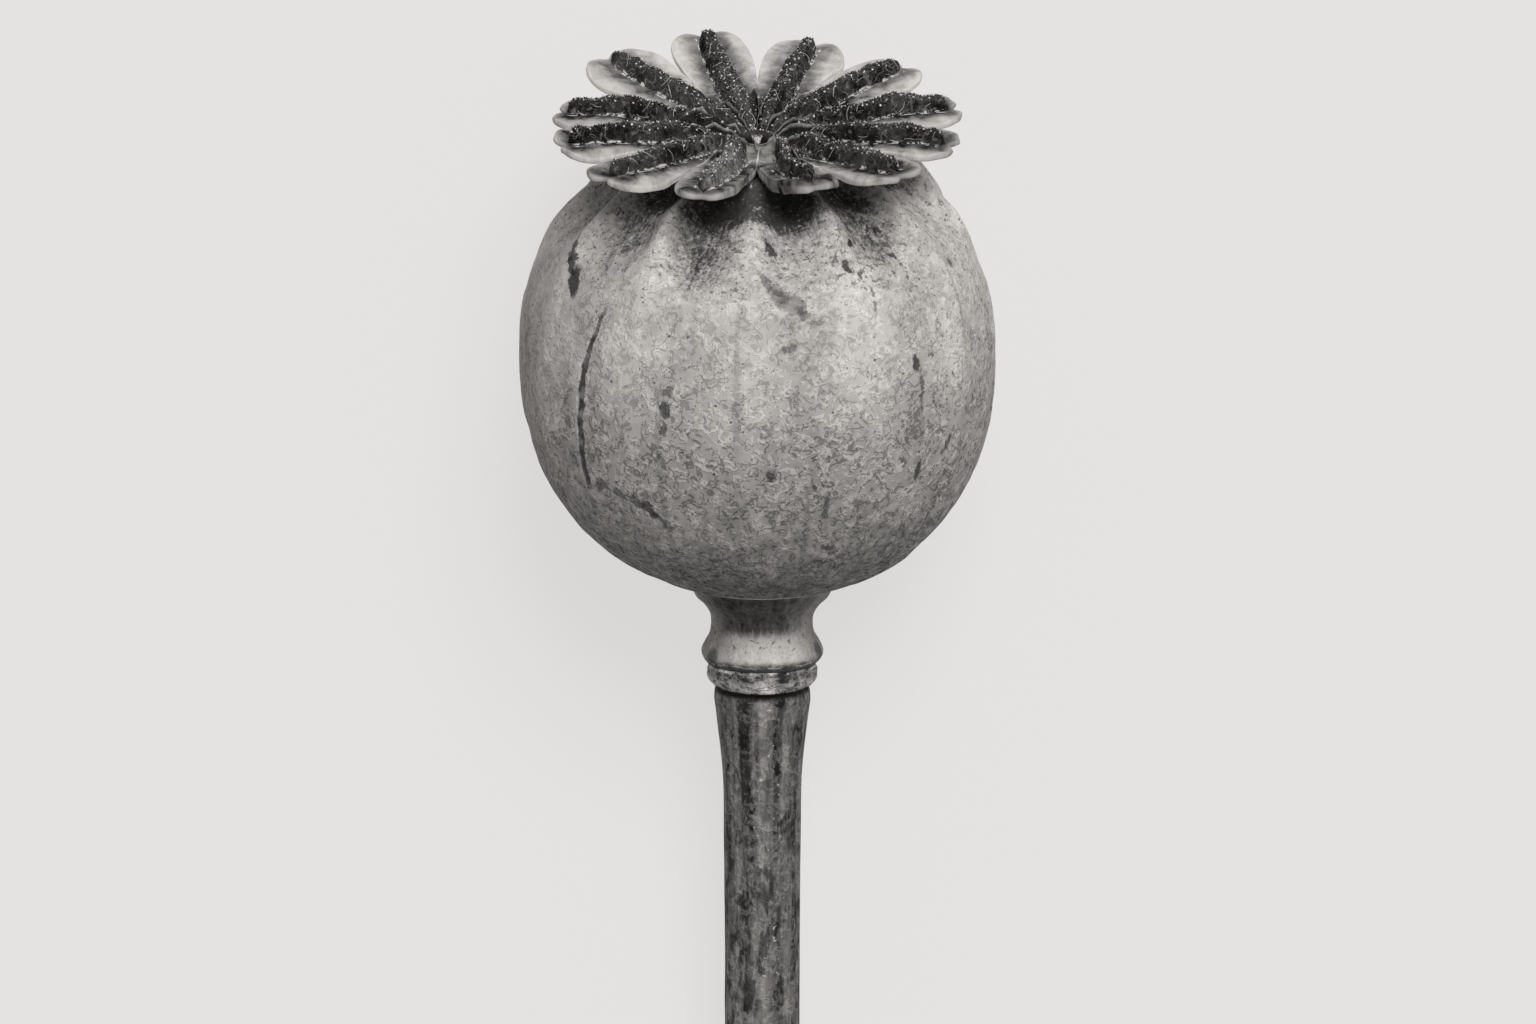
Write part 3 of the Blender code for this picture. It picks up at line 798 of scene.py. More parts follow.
# %% [markdown]
# ## The crown
#
# The crown is what is left of the flower's stigma: a shallow dish that divides into 12 lobes.
# Each lobe has a rounded, thickened rim, wings that droop to both sides, and a notch at its
# tip. It could be one lobe that is repeated, but no two lobes of a real crown match, so each
# is a sheet of its own, with its own lift, reach, turn and waves.

# %% Shape one arm of the crown
ARMS = [
    # lift and reach of the tip in mm, its turn in degrees, its width, the droop of each wing in mm
    (0.97, 0.2, -0.8, 1.04, 0.0, 0.75),
    (-0.1, 0.6, 1.0, 1.01, -0.3, 1.2),
    (-0.3, 0.25, 1.5, 1.0, 0.0, 0.2),
    (-0.65, -0.1, 2.1, 1.04, 0.1, 0.25),
    (-0.35, -0.2, 2.7, 1.03, 0.15, -0.1),
    (0.25, 0.35, 2.0, 1.0, 0.3, -0.15),
    (1.25, 0.0, -1.3, 1.03, 0.45, 0.9),
    (0.75, 0.9, -0.6, 1.0, -0.15, 0.65),
    (-0.4, 0.15, 1.4, 1.05, 0.75, 0.7),
    (-0.2, -0.2, -2.5, 1.08, 0.35, 0.2),
    (-1.3, 0.0, 0.2, 1.04, -0.2, 0.35),
    (0.35, 1.0, -0.4, 1.1, 0.7, -0.4),
]
# Where an arm isn't named here, it has the usual value. Arms 6 and 7 are the front pair, and
# they part further in than the others do.
CURLS = {5: 0.25, 6: 0.7, 7: 0.35, 8: 0.2}
CORNERS = {6: 11.6, 7: 11.8}
ROUNDNESS = {6: 1.7, 7: 1.9}
CORNER_CUTS = {6: 2.0, 7: 0.4}
LEFT_OF_FRONT, RIGHT_OF_FRONT = 7, 6
FRONT_SINUS, FRONT_GAP = 7.4, 0.85
USUAL_CURL, CURL_REACH = 0.1, 1.3
LOBE_ROUNDNESS, LOBE_OPENING = 2.6, 0.1
NOTCH_DEPTH, NOTCH_WIDTH = 0.7, 0.14
RIM_RADIUS = 0.2
PIT_RADIUS, PIT_DEPTH = 1.0, 0.9
HUB_THICKNESS, WING_THICKNESS = 1.0, 0.44
HUB_ROWS = [0, 0.4, 0.65, 0.78, 0.88, 0.98, 1.1, 1.35, 1.7, 2.2, 2.9, 3.7]
HUB_ROWS += [4.6, 5.6, 6.6, 7.4, 7.7, 8.3, 9.2, 10.2, 10.8]


def lobe_face(arm, radius, across, to_end):
    """Height of a lobe's upper face, whose wings droop and whose tip may curl down."""
    out = ramp(SINUS_RADIUS, LOBE_RADIUS, radius)
    droop = np.where(across < 0, ARMS[arm][4], ARMS[arm][5])
    curl = CURLS.get(arm, USUAL_CURL) * np.clip(1 - to_end / CURL_REACH, 0, 1) ** 1.6
    return DISH_DEPTH * radius / LOBE_RADIUS - droop * np.abs(across) ** 3 * out - curl


def on_arm(arm, radius, angle, height):
    """A place at this angle from an arm's middle, carried along as the arm lifts, reaches and turns.

    Arm 0 lies half a lobe to the left of the far side.
    """
    lift, reach, turn = ARMS[arm][:3]
    out = ramp(SINUS_RADIUS, LOBE_RADIUS, radius)
    turned = (2 * arm - 1) * HALF_LOBE + angle + math.radians(turn) * out
    full = radius + reach * out
    return np.stack([full * np.sin(turned), full * np.cos(turned), height + lift * out], axis=-1)


print("an arm's tip is", round(float(lobe_face(0, 18.0, 0.0, 0.4)), 2), "mm above the dish's middle")

# %% [markdown]
# ### One lobe as a sheet
#
# A lobe has two faces, and each is a grid of points: across the lobe from -1 to 1, and out from
# the dish's middle. Near the middle the rows lie close, because the pit, its lip and the thin
# ridges between the arms are there. Each point also knows how far it is from the lobe's rim,
# and there the two faces come together in a half round, so that they weld to a closed skin.

# %% Lay out one lobe
def lobe_plan(arm):
    """A lobe from above: across it from -1 to 1, how far out, and how far from its rim, in mm.

    a is the place across, off the same in mm, rim the distance to the rim, shown the one that
    the finish reads, and parted is 0 where the front pair has parted from each other.
    """
    shares = np.concatenate([np.zeros(len(HUB_ROWS) + 1), np.sin(np.linspace(0.04, math.pi / 2, 30))])
    across = np.sin(np.linspace(-math.pi / 2, math.pi / 2, 41))
    share, a = np.meshgrid(shares, across, indexing="ij")
    bulge = np.sqrt(np.clip(1 - np.abs(a) ** ROUNDNESS.get(arm, LOBE_ROUNDNESS), 0, 1))
    scallops = 0.16 * lumps(np.stack([a * 5, a * 0 + 3.0 * arm, a * 0], axis=-1), 1.0)
    corner = CORNERS.get(arm, CORNER_RADIUS)
    end = corner + (LOBE_RADIUS - corner) * bulge - NOTCH_DEPTH * bell(a, 0, NOTCH_WIDTH)
    end = end + scallops * bulge
    radius = SINUS_RADIUS + share * (end - SINUS_RADIUS)
    radius[: len(HUB_ROWS)] = np.array(HUB_ROWS)[:, None]

    widened = 1 + (ARMS[arm][3] - 1) * ramp(0, 0.4, share)
    facing = ((arm == RIGHT_OF_FRONT) & (a > 0)) | ((arm == LEFT_OF_FRONT) & (a < 0))
    gap = FRONT_GAP * ramp(FRONT_SINUS, 12.0, radius) + CORNER_CUTS.get(arm, 0) * ramp(11.2, 17.0, radius)
    parting = gap * np.sign(a) * np.abs(a) ** 3 * facing
    angle = a * HALF_LOBE * (1 - LOBE_OPENING * share**0.7) * widened - parting / np.maximum(radius, 1)

    side_gap = (1 - np.abs(a)) * HALF_LOBE * radius
    to_end = (end - radius) * (0.6 + 0.4 * bulge)
    to_side = np.hypot(side_gap, np.maximum(0, np.where(facing, FRONT_SINUS, SINUS_RADIUS) - radius))
    return SimpleNamespace(
        a=a,
        radius=radius,
        angle=angle,
        off=radius * np.sin(angle),
        side_gap=side_gap,
        to_end=np.where(share > 0, to_end, 9.0),
        rim=np.where(share > 0, np.minimum(to_side, to_end), to_side),
        shown=np.where(share > 0, np.minimum(to_side, to_end), side_gap),
        parted=np.where(facing, ramp(FRONT_SINUS, 5.0, radius), 1),
    )


def hub_relief(plan, on_border, forward):
    """The wavering ridges where two arms meet, the lip round the pit, and the pit."""
    crinkled = lumps(on_border, 1.1, 2, seed=4.0)
    sharp = 0.75 * bell(plan.side_gap, 0, 0.07) + 0.25 * bell(plan.side_gap, 0, 0.25)
    ridge = (0.8 + 0.9 * crinkled) * sharp * ramp(1.1, 2.6, plan.radius) * ramp(11.0, 6.0, plan.radius)
    lip = (0.08 + 0.5 * ramp(0.2, 0.8, forward)) * bell(plan.radius, PIT_RADIUS + 0.22, 0.2)
    return ridge * plan.parted, lip, PIT_DEPTH * ramp(PIT_RADIUS + 0.1, PIT_RADIUS - 0.3, plan.radius)


print("a lobe has", lobe_plan(0).a.shape, "points a side")


# %% Shape the two faces of a lobe
def lobe_sheet(arm, side):
    """One face of one lobe, with its measures: off the middle, along and from the rim, in mm."""
    plan = lobe_plan(arm)
    radius, off = plan.radius, plan.off
    rounded = np.sqrt(np.clip(1 - (1 - np.minimum(plan.rim / RIM_RADIUS, 1)) ** 2, 0, 1))
    thinner = (HUB_THICKNESS - WING_THICKNESS) * ramp(SINUS_RADIUS - 1, 14.0, radius)
    half = (HUB_THICKNESS - thinner) / 2
    flat = np.stack([off, radius, np.full_like(off, 7.0 * arm)], axis=-1)
    waves = 0.22 * lumps(flat, 3.2, 2, seed=1.0 + arm) * ramp(SINUS_RADIUS, LOBE_RADIUS, radius)
    face = lobe_face(arm, radius, plan.a, plan.to_end) + waves
    border = (2 * arm - 1 + np.sign(plan.a)) * HALF_LOBE
    on_border = np.stack([radius * np.sin(border), radius * np.cos(border), radius * 0], axis=-1)
    if side:
        ridge, lip, pit = hub_relief(plan, on_border, on_arm(arm, radius, plan.angle, face)[..., 1])
        convex = 0.2 * bell(np.abs(off), 2.4, 1.0) * ramp(SINUS_RADIUS - 2, LOBE_RADIUS, radius)
        veins = 0.06 * lumps(flat * (0.8, 1.0, 1), 1.2, 2, seed=5.0)
        veins = veins * ramp(SINUS_RADIUS, LOBE_RADIUS, radius)
        height = face - half + half * rounded + (convex + veins) * rounded + ridge + lip - pit
    else:
        height = face - half - half * rounded
    swing = 0.5 * lumps(on_border, 1.5, 2, seed=8.0) * ramp(1.2, 3.5, radius) * ramp(11, 8, radius)
    swing = swing * bell(plan.side_gap, 0, 0.7) * plan.parted
    points = on_arm(arm, radius, plan.angle + swing / np.maximum(radius, 0.5), height)
    return points, np.stack([off, radius, plan.shown], axis=-1)


print("a lobe's upper face reaches", round(float(lobe_sheet(0, 1)[0][..., 2].max()), 2), "mm")

# %% Join the arms
def rosette(sheet):
    """Points, faces and measures of all the arms, from a function that gives one side of one arm."""
    points, measures, faces = [], [], []
    total = 0
    for arm in range(RAYS):
        for side in (0, 1):
            grid, values = sheet(arm, side)
            rows, wide = grid.shape[:2]
            faces += sheet_faces(rows, wide, total, flip=bool(side))
            points.append(grid.reshape(-1, 3))
            measures.append(values.reshape(-1, 3))
            total += rows * wide
    return np.vstack(points), faces, np.vstack(measures)


# %% [markdown]
# ### The crown's finish
#
# The wings are weathered grey, darker beside the crest, with dark blurred veins. Their
# rims are pale where the skin is thick, and a thin whitish line runs along each crest's foot.

# %% Mix the crown's finish
CREST_RADIUS, CREST_HALF_WIDTH, CREST_TIP_HALF_WIDTH = 17.3, 1.15, 0.85


def crown_finish():
    skin = Finish("weathered_crown")
    place = skin.attribute("place")
    off, along, rim = skin.split(skin.attribute("lobe"))
    side, depth, level = skin.split(place)
    broad = skin.clouds(place, 0.28, 2, 0.5)
    stains = skin.clouds(place, 0.6, 3, 0.55, 0.6)
    mottle = skin.clouds(place, 1.2, 4, 0.6)
    grain = skin.clouds(place, 5.5, 3, 0.7)
    fan = skin.joined(off * 0.3 + side * 0.15, along * 0.85 - abs(off) * 0.45, depth * 0.2)
    veins = skin.fade(skin.clouds(fan, 1.0, 3, 0.6, 0.5, seed=2.0), 0.5, 0.62)
    beside = abs(off) + mottle.swing(1.0) + stains.swing(1.4)
    wing = skin.most(skin.fade(beside, 1.2, 3.2), skin.fade(along, 17.2, 18.2) * 0.7)
    tone = 0.085 + wing * 0.49 + broad.swing(0.3) + stains.swing(0.5) + mottle.swing(0.2) + grain.swing(0.1)
    # The far lobes are painted lighter, by 0.18 of the tone: a painted highlight.
    tone = tone - veins * skin.fade(depth, 4, -4, 0.09, 0.12) + skin.fade(depth, 3, 13) * 0.18
    edge = skin.fade(along, 11, 13) * skin.fade(rim + mottle.swing(0.3), 0.4, 0.12)
    tone = tone + edge * 0.12
    front = skin.fade(depth, -1.2, -2.2) * skin.fade(abs(side) + stains.swing(2.5), 3.0, 1.4)
    tone = tone * skin.most(skin.fade(along, 10, 6, 1, 0.25), front)
    tone = tone + front * skin.fade(along, 9, 6) * (0.26 + mottle.swing(0.5))
    ridge = skin.fade(rim, 0.06, 0.02) * skin.fade(along, 1.2, 2.0) * skin.fade(along, 12.6, 10.0)
    tone = tone + ridge * (0.34 + mottle.swing(1.3))
    half_crest = skin.fade(along, 10.8, 17.3, CREST_HALF_WIDTH, CREST_TIP_HALF_WIDTH)
    at_foot = skin.near(abs(off) - half_crest - 0.03, 0.05, 0.14)
    beads = skin.fade(skin.clouds(place, 1.5, 2, 0.6, seed=4.0), 0.5, 0.55)
    tone = tone + at_foot * beads * 0.7 * skin.fade(along, 5, 7) * skin.fade(along, 17.2, 16.6)
    collar = skin.fade(abs(along - 1.25), 0.2, 0.08) * skin.fade(depth, 0.3, -0.3)
    tone = tone + collar * (0.3 + mottle.swing(0.9))
    pit = skin.fade(along, 1.05, 0.92)
    fluff = skin.fade(skin.clouds(place, 5.0, 2, 0.6, seed=3.0), 0.4, 0.56)
    beside_tuft = abs(side + grain.swing(0.5)) - (level + 0.95) * 0.45
    tuft = skin.fade(beside_tuft, 0.04, -0.08) * skin.fade(depth, 0.1, 0.3)
    tone = tone * (1 - pit) + pit * tuft * (0.15 + fluff * 0.95)
    colour = skin.blend(tone, CROWN_DIRT, CROWN_RIM)
    height = mottle * 0.07 + grain * 0.03 - veins * 0.03
    return skin.wear(colour, 0.7, height, 0.12)


# %% Make the crown
points, faces, measures = rosette(lobe_sheet)
hub_grains = ramp(8.5, 7.0, measures[:, 1]) * (np.hypot(points[:, 0], points[:, 1]) > PIT_RADIUS + 0.1)
hub_grains *= (np.abs(points[:, 0]) > 1.4) | (points[:, 1] > -0.6)
crown_skin = welded(
    "crown_skin",
    points,
    faces,
    {"place": points, "lobe": measures, "grainy": hub_grains},
    crown_finish(),
    crown_seat,
)
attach(crown_skin, "root")
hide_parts("crown")

# %% [markdown]
# ## The crests
#
# Along the middle of each lobe runs a dark crest, the dried band on which pollen once landed.
# Its body is a rounded bar that ends in a small knob. It is the same kind of sheet as a lobe.

# %% Shape one crest
CREST_STARTS = {2: 1.6, 3: 3.0, 4: 4.4, 5: 3.2, 6: 1.5, 7: 1.6, 8: 2.6, 9: 3.6, 10: 1.6}
CREST_START, CREST_RUN_IN = 1.15, 3.0
CREST_ASIDE = {4: -0.6, 5: -1.5, 6: -1.3, 7: 0.8, 8: 0.8, 9: 0.4}
CREST_WIDTHS = {0: 1.25, 1: 1.12, 6: 0.7, 7: 1.15}
CREST_RISE = 1.0


def crest_sheet(arm, side):
    """One face of one crest: a steep-sided bar with a wavering top and a knob at its tip.

    Towards the hub it narrows with the radius, and near the front some stand a little aside.
    """
    across = np.linspace(-1, 1, 21)
    start = CREST_STARTS.get(arm, CREST_START)
    inner = np.linspace(start, start + CREST_RUN_IN, 18)
    shares = np.linspace(0, 1, 80)[1:]
    share = np.concatenate([np.zeros(len(inner)), shares])[:, None] * np.ones(len(across))
    a = np.ones_like(share) * across
    radius = inner[-1] + share * (CREST_RADIUS - inner[-1])
    radius[: len(inner)] = inner[:, None]
    narrow = ramp(10.8, CREST_RADIUS, radius)
    half_width = CREST_HALF_WIDTH + (CREST_TIP_HALF_WIDTH - CREST_HALF_WIDTH) * narrow
    half_width = CREST_WIDTHS.get(arm, 1.0) * np.minimum(half_width, 0.19 * radius + 0.06)
    ends = np.sqrt(np.clip(1 - share**24, 0, 1)) * np.sqrt(np.clip((radius - start) / 0.6, 0, 1))
    radius = radius - 0.3 * a**2 * narrow
    along = np.stack([radius[:, 10], np.full(len(radius), 3.0 * arm), np.zeros(len(radius))], axis=-1)
    sway = 0.28 * lumps(along, 1.6, 2, seed=3.0)[:, None]
    ragged = 1 + 0.16 * lumps(along, 0.8, 2, seed=6.0)[:, None]
    aside = CREST_ASIDE.get(arm, 0.0) * ramp(11, start, radius) / np.maximum(radius, 0.5)
    angle = np.arctan2(a * half_width * ends * ragged, radius) + aside
    off = radius * np.sin(angle)
    flat = np.stack([off, radius, np.full_like(off, 9.0 * arm)], axis=-1)
    base = lobe_face(arm, radius, angle / HALF_LOBE, LOBE_RADIUS - NOTCH_DEPTH - radius) - 0.15
    if side:
        knob = 0.2 * bell(radius, CREST_RADIUS - 0.9, 0.7)
        lower_out = 1 - 0.3 * ramp(12, 17, radius)
        rise = 0.45 + CREST_RISE * ramp(0.7 * start, start + 3.2, radius) * lower_out + knob
        flank = 1 - ramp(0.3, 1.0, np.abs(a - 0.5 * sway * (1 - a**2)))
        rough = 0.2 * lumps(flat, 0.8, 3, seed=2.0 + arm)
        slow = 0.2 * lumps(flat, 2.0, 1, seed=8.0 + arm)
        sides = np.sqrt(np.clip(1 - a**2, 0, 1))
        height = base + (rise + slow) * flank * ends + rough * sides * ends + 0.1 * sides
    else:
        height = base
    return on_arm(arm, radius, angle, height), np.stack([off, radius, a], axis=-1)


print("a crest has", crest_sheet(0, 1)[0].shape[:2], "points a side")

# %% Mix the crests' finish, and make them
def worn_spot(skin, place):
    """The crest left of the front has lost its dark grains over most of its length."""
    side, depth, _ = skin.split(place)
    return skin.fade(skin.length(skin.joined(side + 3.4, (depth + 11.0) * 0.32)), 3.0, 1.6)


def crest_finish():
    skin = Finish("dark_crest")
    place = skin.attribute("place")
    _, along, across = skin.split(skin.attribute("crest"))
    patches = skin.clouds(place, 0.7, 3, 0.6)
    mottle = skin.clouds(place, 2.2, 3, 0.6)
    grain = skin.clouds(place, 7.0, 3, 0.7)
    tone = 0.035 + patches.swing(0.22) + mottle.swing(0.16) + grain.swing(0.16)
    tone = tone + skin.hairs(place, 1.1, 0.045, 1.0, 0.5) * 0.12
    tone = tone + worn_spot(skin, place) * (0.16 + mottle.swing(0.9))
    tone = tone + skin.clouds(place, 0.22, 2).swing(0.2)
    beads = skin.fade(skin.clouds(place, 1.5, 2, 0.6, seed=4.0), 0.5, 0.54)
    foot = skin.fade(abs(across), 0.78, 0.86) * skin.fade(along, 4, 6) * beads
    tone = tone + foot * 0.75
    colour = skin.blend(tone, CREST_DARK, CROWN_RIM)
    return skin.wear(colour, 0.8, grain * 0.05 + mottle * 0.12, 0.04)


points, faces, measures = rosette(crest_sheet)
crest_skin = welded(
    "crest_skin",
    points,
    faces,
    {"place": points, "crest": measures, "grainy": np.ones(len(points))},
    crest_finish(),
    crown_seat,
)
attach(crest_skin, "root")
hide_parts("stigma_rays")

# %% [markdown]
# ### Papillae
#
# Close to, a crest is a bed of tiny blunt grains, the papillae. Thousands of grains of nearly
# the same shape are work for Geometry Nodes: points are scattered over the crests at an even
# spacing, a ball of 15 faces stands on each, and each gets its own size.

# %% Build the tree that strews grains
class Strewing:
    """A Geometry Nodes tree. Nodes are added as for a finish, and inputs by name."""

    def __init__(self, name):
        self.tree = bpy.data.node_groups.new(name, "GeometryNodeTree")
        self.tree.interface.new_socket("Geometry", in_out="INPUT", socket_type="NodeSocketGeometry")
        self.tree.interface.new_socket("Geometry", in_out="OUTPUT", socket_type="NodeSocketGeometry")
        self.inputs = self.tree.nodes.new("NodeGroupInput")
        self.outputs = self.tree.nodes.new("NodeGroupOutput")
        self.identifiers = {}

    def size(self, name, kind, value):
        """A named input of the tree."""
        socket = self.tree.interface.new_socket(name, in_out="INPUT", socket_type="NodeSocket" + kind)
        if value is not None:
            socket.default_value = value
        self.identifiers[name] = socket.identifier
        return self.inputs.outputs[name]

    def node(self, kind, settings=None, sockets=None, output=0):
        made = self.tree.nodes.new(kind)
        for key, value in (settings or {}).items():
            setattr(made, key, value)
        for key, value in (sockets or {}).items():
            if isinstance(value, bpy.types.NodeSocket):
                self.tree.links.new(value, made.inputs[key])
            else:
                made.inputs[key].default_value = value
        return made.outputs[output]

    def times(self, value, factor):
        return self.node("ShaderNodeMath", {"operation": "MULTIPLY"}, {0: value, 1: factor})

    def stood_on(self, points, thing, turn, scale):
        """Ends the tree: the thing stands on each point, made real and given its finish."""
        sockets = {"Points": points, "Instance": thing, "Rotation": turn, "Scale": scale}
        things = self.node("GeometryNodeInstanceOnPoints", {}, sockets)
        real = self.node("GeometryNodeRealizeInstances", {}, {0: things})
        finish = self.size("Finish", "Material", None)
        painted = self.node("GeometryNodeSetMaterial", {}, {"Geometry": real, "Material": finish})
        self.tree.links.new(painted, self.outputs.inputs[0])
        return self

    def grown_on(self, host, name, values):
        """Runs the tree on a copy of the host and returns what it makes as a plain mesh object."""
        piece = bpy.data.objects.new(name, host.data)
        bpy.context.scene.collection.objects.link(piece)
        modifier = piece.modifiers.new("strewing", "NODES")
        modifier.node_group = self.tree
        for key, value in values.items():
            modifier[self.identifiers[key]] = value
        bpy.context.view_layer.update()
        graph = bpy.context.evaluated_depsgraph_get()
        mesh = bpy.data.meshes.new_from_object(piece.evaluated_get(graph))
        piece.modifiers.remove(modifier)
        piece.data = mesh
        mesh.name = name
        print(name, len(mesh.polygons), "faces")
        return piece


CROWN_NORMAL = tuple(((lay_down @ crown_seat).to_3x3() @ Vector((0, 0, 1))).normalized())


def scattered(strewing, steepest, most_per_area, mask=None):
    """Evenly spaced points on the faces that look up from the crown, each with its turn."""
    normal = strewing.node("GeometryNodeInputNormal")
    share = strewing.node("ShaderNodeVectorMath", {"operation": "DOT_PRODUCT"}, {0: normal, 1: CROWN_NORMAL}, 1)
    if mask:
        marked = strewing.node("GeometryNodeInputNamedAttribute", {"data_type": "FLOAT"}, {0: mask})
        share = strewing.times(share, marked)
    greater = {"data_type": "FLOAT", "operation": "GREATER_THAN"}
    sizes = {
        "Mesh": strewing.inputs.outputs[0],
        "Selection": strewing.node("FunctionNodeCompare", greater, {0: share, 1: steepest}),
        "Distance Min": strewing.size("Spacing", "Float", 0.0002),
        "Density Max": most_per_area,
        "Seed": strewing.size("Seed", "Int", 1),
    }
    points = strewing.node("GeometryNodeDistributePointsOnFaces", {"distribute_method": "POISSON"}, sizes)
    return points, points.node.outputs["Rotation"]


def grain_tree():
    strewing = Strewing("grains_on_a_surface")
    points, turn = scattered(strewing, 0.5, 6e7, "grainy")
    radius = strewing.size("Grain", "Float", 0.0001)
    sockets = {"Radius": radius, "Segments": 5, "Rings": 3}
    ball = strewing.node("GeometryNodeMeshUVSphere", {}, sockets)
    sockets = {0: (0.7, 0.7, 0.8), 1: (1.2, 1.2, 1.7), "Seed": 5}
    scale = strewing.node("FunctionNodeRandomValue", {"data_type": "FLOAT_VECTOR"}, sockets)
    return strewing.stood_on(points, ball, turn, scale)


grains = grain_tree()
print("the tree has the inputs", sorted(grains.identifiers))

# %% Strew the papillae
def papilla_finish(name, darkest, spread, pale_share):
    """Each grain has its own tone, drawn from the place where it stands on the crest."""
    skin = Finish(name)
    place = skin.attribute("place")
    side, depth, _ = skin.split(place)
    chance = skin.node("TexWhiteNoise", {}, {"Vector": place})
    second = skin.node("TexWhiteNoise", {}, {"Vector": skin.scaled(place, (1.3, 1.7, 1.1))})
    patches = skin.clouds(place, 0.6, 2)
    pale = skin.fade(chance + patches.swing(0.25), 1 - pale_share - 0.02, 1 - pale_share)
    tone = darkest + chance * chance * spread + (patches - 0.5) * spread + pale * (0.25 + second * 0.6)
    tuft = skin.fade(skin.length(skin.joined(side, depth - 1.0)), 0.8, 0.6)
    worn = worn_spot(skin, place) * skin.fade(skin.clouds(place, 1.3, 2, seed=5.0), 0.42, 0.6)
    tone = tone + tuft * second * 0.8 + worn * (0.06 + second * 0.24)
    tone = tone + skin.clouds(place, 0.22, 2).swing(1.3 * spread)
    colour = skin.blend(tone, CREST_DARK, GRAIN_PALE)
    return skin.wear(colour, 0.7, patches * 0.01, 0.06)


def strewn_grains(host, name, spacing, size, seed, tones):
    values = {"Spacing": spacing, "Grain": size, "Seed": seed, "Finish": papilla_finish(name, *tones)}
    return grains.grown_on(host, name, values)


papillae = strewn_grains(crest_skin, "papillae", 0.00017, 0.000095, 4, (0.02, 0.18, 0.05))
hub_papillae = strewn_grains(crown_skin, "hub_papillae", 0.0002, 0.000085, 6, (0.04, 0.24, 0.12))
pale_grains = strewn_grains(crest_skin, "pale_grains", 0.0007, 0.000115, 9, (0.5, 0.3, 0.3))
for piece, slot in ((papillae, "crest"), (hub_papillae, "crest"), (pale_grains, "lobe")):
    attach(piece, "root")

# %% [markdown]
# ### Threads
#
# Dried slime and stigma hairs have left pale threads across the crests. Each is a bent sliver,
# made from a curve with a thin round profile. The same way of strewing puts them in place,
# only that what stands on each point is a thread, turned at random about the surface's normal.

# %% Build the tree that strews threads, and strew them
def thread_tree():
    strewing = Strewing("threads_on_a_surface")
    points, up_turn = scattered(strewing, 0.0, 1e6)
    half = strewing.times(strewing.size("Length", "Float", 0.0015), 0.5)

    def corner(*shares):
        """A corner of the arc, from its three shares of half the thread's length."""
        parts = {axis: strewing.times(half, share) for axis, share in enumerate(shares)}
        return strewing.node("ShaderNodeCombineXYZ", {}, parts)

    ends = {"Start": corner(-1.0, 0.0, 0.0), "Middle": corner(0.0, -0.3, 0.45), "End": corner(1.0, 0.3, 0.0)}
    arc = strewing.node("GeometryNodeCurveQuadraticBezier", {}, {"Resolution": 5} | ends)
    thickness = strewing.size("Thickness", "Float", 0.00004)
    ring = strewing.node("GeometryNodeCurvePrimitiveCircle", {}, {"Resolution": 4, "Radius": thickness})
    sockets = {"Curve": arc, "Profile Curve": ring, "Fill Caps": True}
    thread = strewing.node("GeometryNodeCurveToMesh", {}, sockets)
    number = {"data_type": "FLOAT"}
    spin = strewing.node("FunctionNodeRandomValue", number, {2: 0.0, 3: 6.283, "Seed": 3}, 1)
    about = strewing.node("ShaderNodeCombineXYZ", {}, {2: spin})
    turn = strewing.node("FunctionNodeRotateRotation", {"rotation_space": "LOCAL"}, {0: up_turn, 1: about})
    scale = strewing.node("FunctionNodeRandomValue", number, {2: 0.35, 3: 1.3, "Seed": 8}, 1)
    return strewing.stood_on(points, thread, turn, scale)


def thread_finish():
    skin = Finish("pale_threads")
    place = skin.node("TexCoord", {}, {}, output=3)
    patches = skin.clouds(place, 900.0, 2)
    tone = 0.5 + patches.swing(1.6)
    colour = skin.blend(tone, THREAD_DARK, THREAD_PALE)
    return skin.wear(colour, 0.6, patches * 0.01)


values = {"Spacing": 0.0008, "Length": 0.001, "Thickness": 0.000025, "Seed": 2, "Finish": thread_finish()}
threads = thread_tree().grown_on(crest_skin, "threads", values)
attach(threads, "root")

# %% [markdown]
# ## The stalk
#
# Under the foot sits a ring, the scar where the petals and stamens fell off, with scaly
# edges. Below it the stalk is straight and ridged along its length, as its fibres shrank. Its
# skin is a turned profile again, with the ridges and scales as relief.

# %% Shape the stalk
STALK_COLUMNS = 120
STALK_BEND, BEND_START = 2.5, -62.0
RING_SAG = 0.4
STALK_GIRTH_RADIUS = 3.4
# The outlines are lists of radius and height.
ring = [(4.55, -28.15), (4.76, -28.38), (4.9, -28.75), (4.98, -29.15), (4.9, -29.55), (4.62, -29.95)]
ring = smooth_line(ring, 30)
groove = [(4.62, -29.95), (4.35, -30.08), (4.08, -30.35), (4.3, -30.75), (4.36, -31.6)]
groove = smooth_line(groove, 14)[1:-1]
taper = [(4.36, -31.6), (4.08, -33.7), (3.72, -37.4), (3.55, -41.1), (3.43, -50.4)]
taper += [(3.39, -61.6), (3.37, -74.0), (3.35, -86.0), (3.32, -98.0), (3.3, -109.7)]
taper = smooth_line(taper, 300)[1:]
cut = [(3.22, -109.93), (3.05, -110.0), (2.7, -109.96), (2.3, -109.8), (1.8, -109.6), (1.2, -109.5), (0.6, -109.45)]
stalk_profile = np.vstack([[(0, -28.15)], ring, groove, taper, cut, [(0, -109.4)]])
columns = np.linspace(-math.pi, math.pi, STALK_COLUMNS + 1)
radius, angle = (grid.ravel() for grid in np.meshgrid(stalk_profile[:, 0], columns, indexing="ij"))
height = np.repeat(stalk_profile[:, 1], len(columns))
around = np.column_stack([6 * np.sin(angle), 6 * np.cos(angle), 0.07 * height])
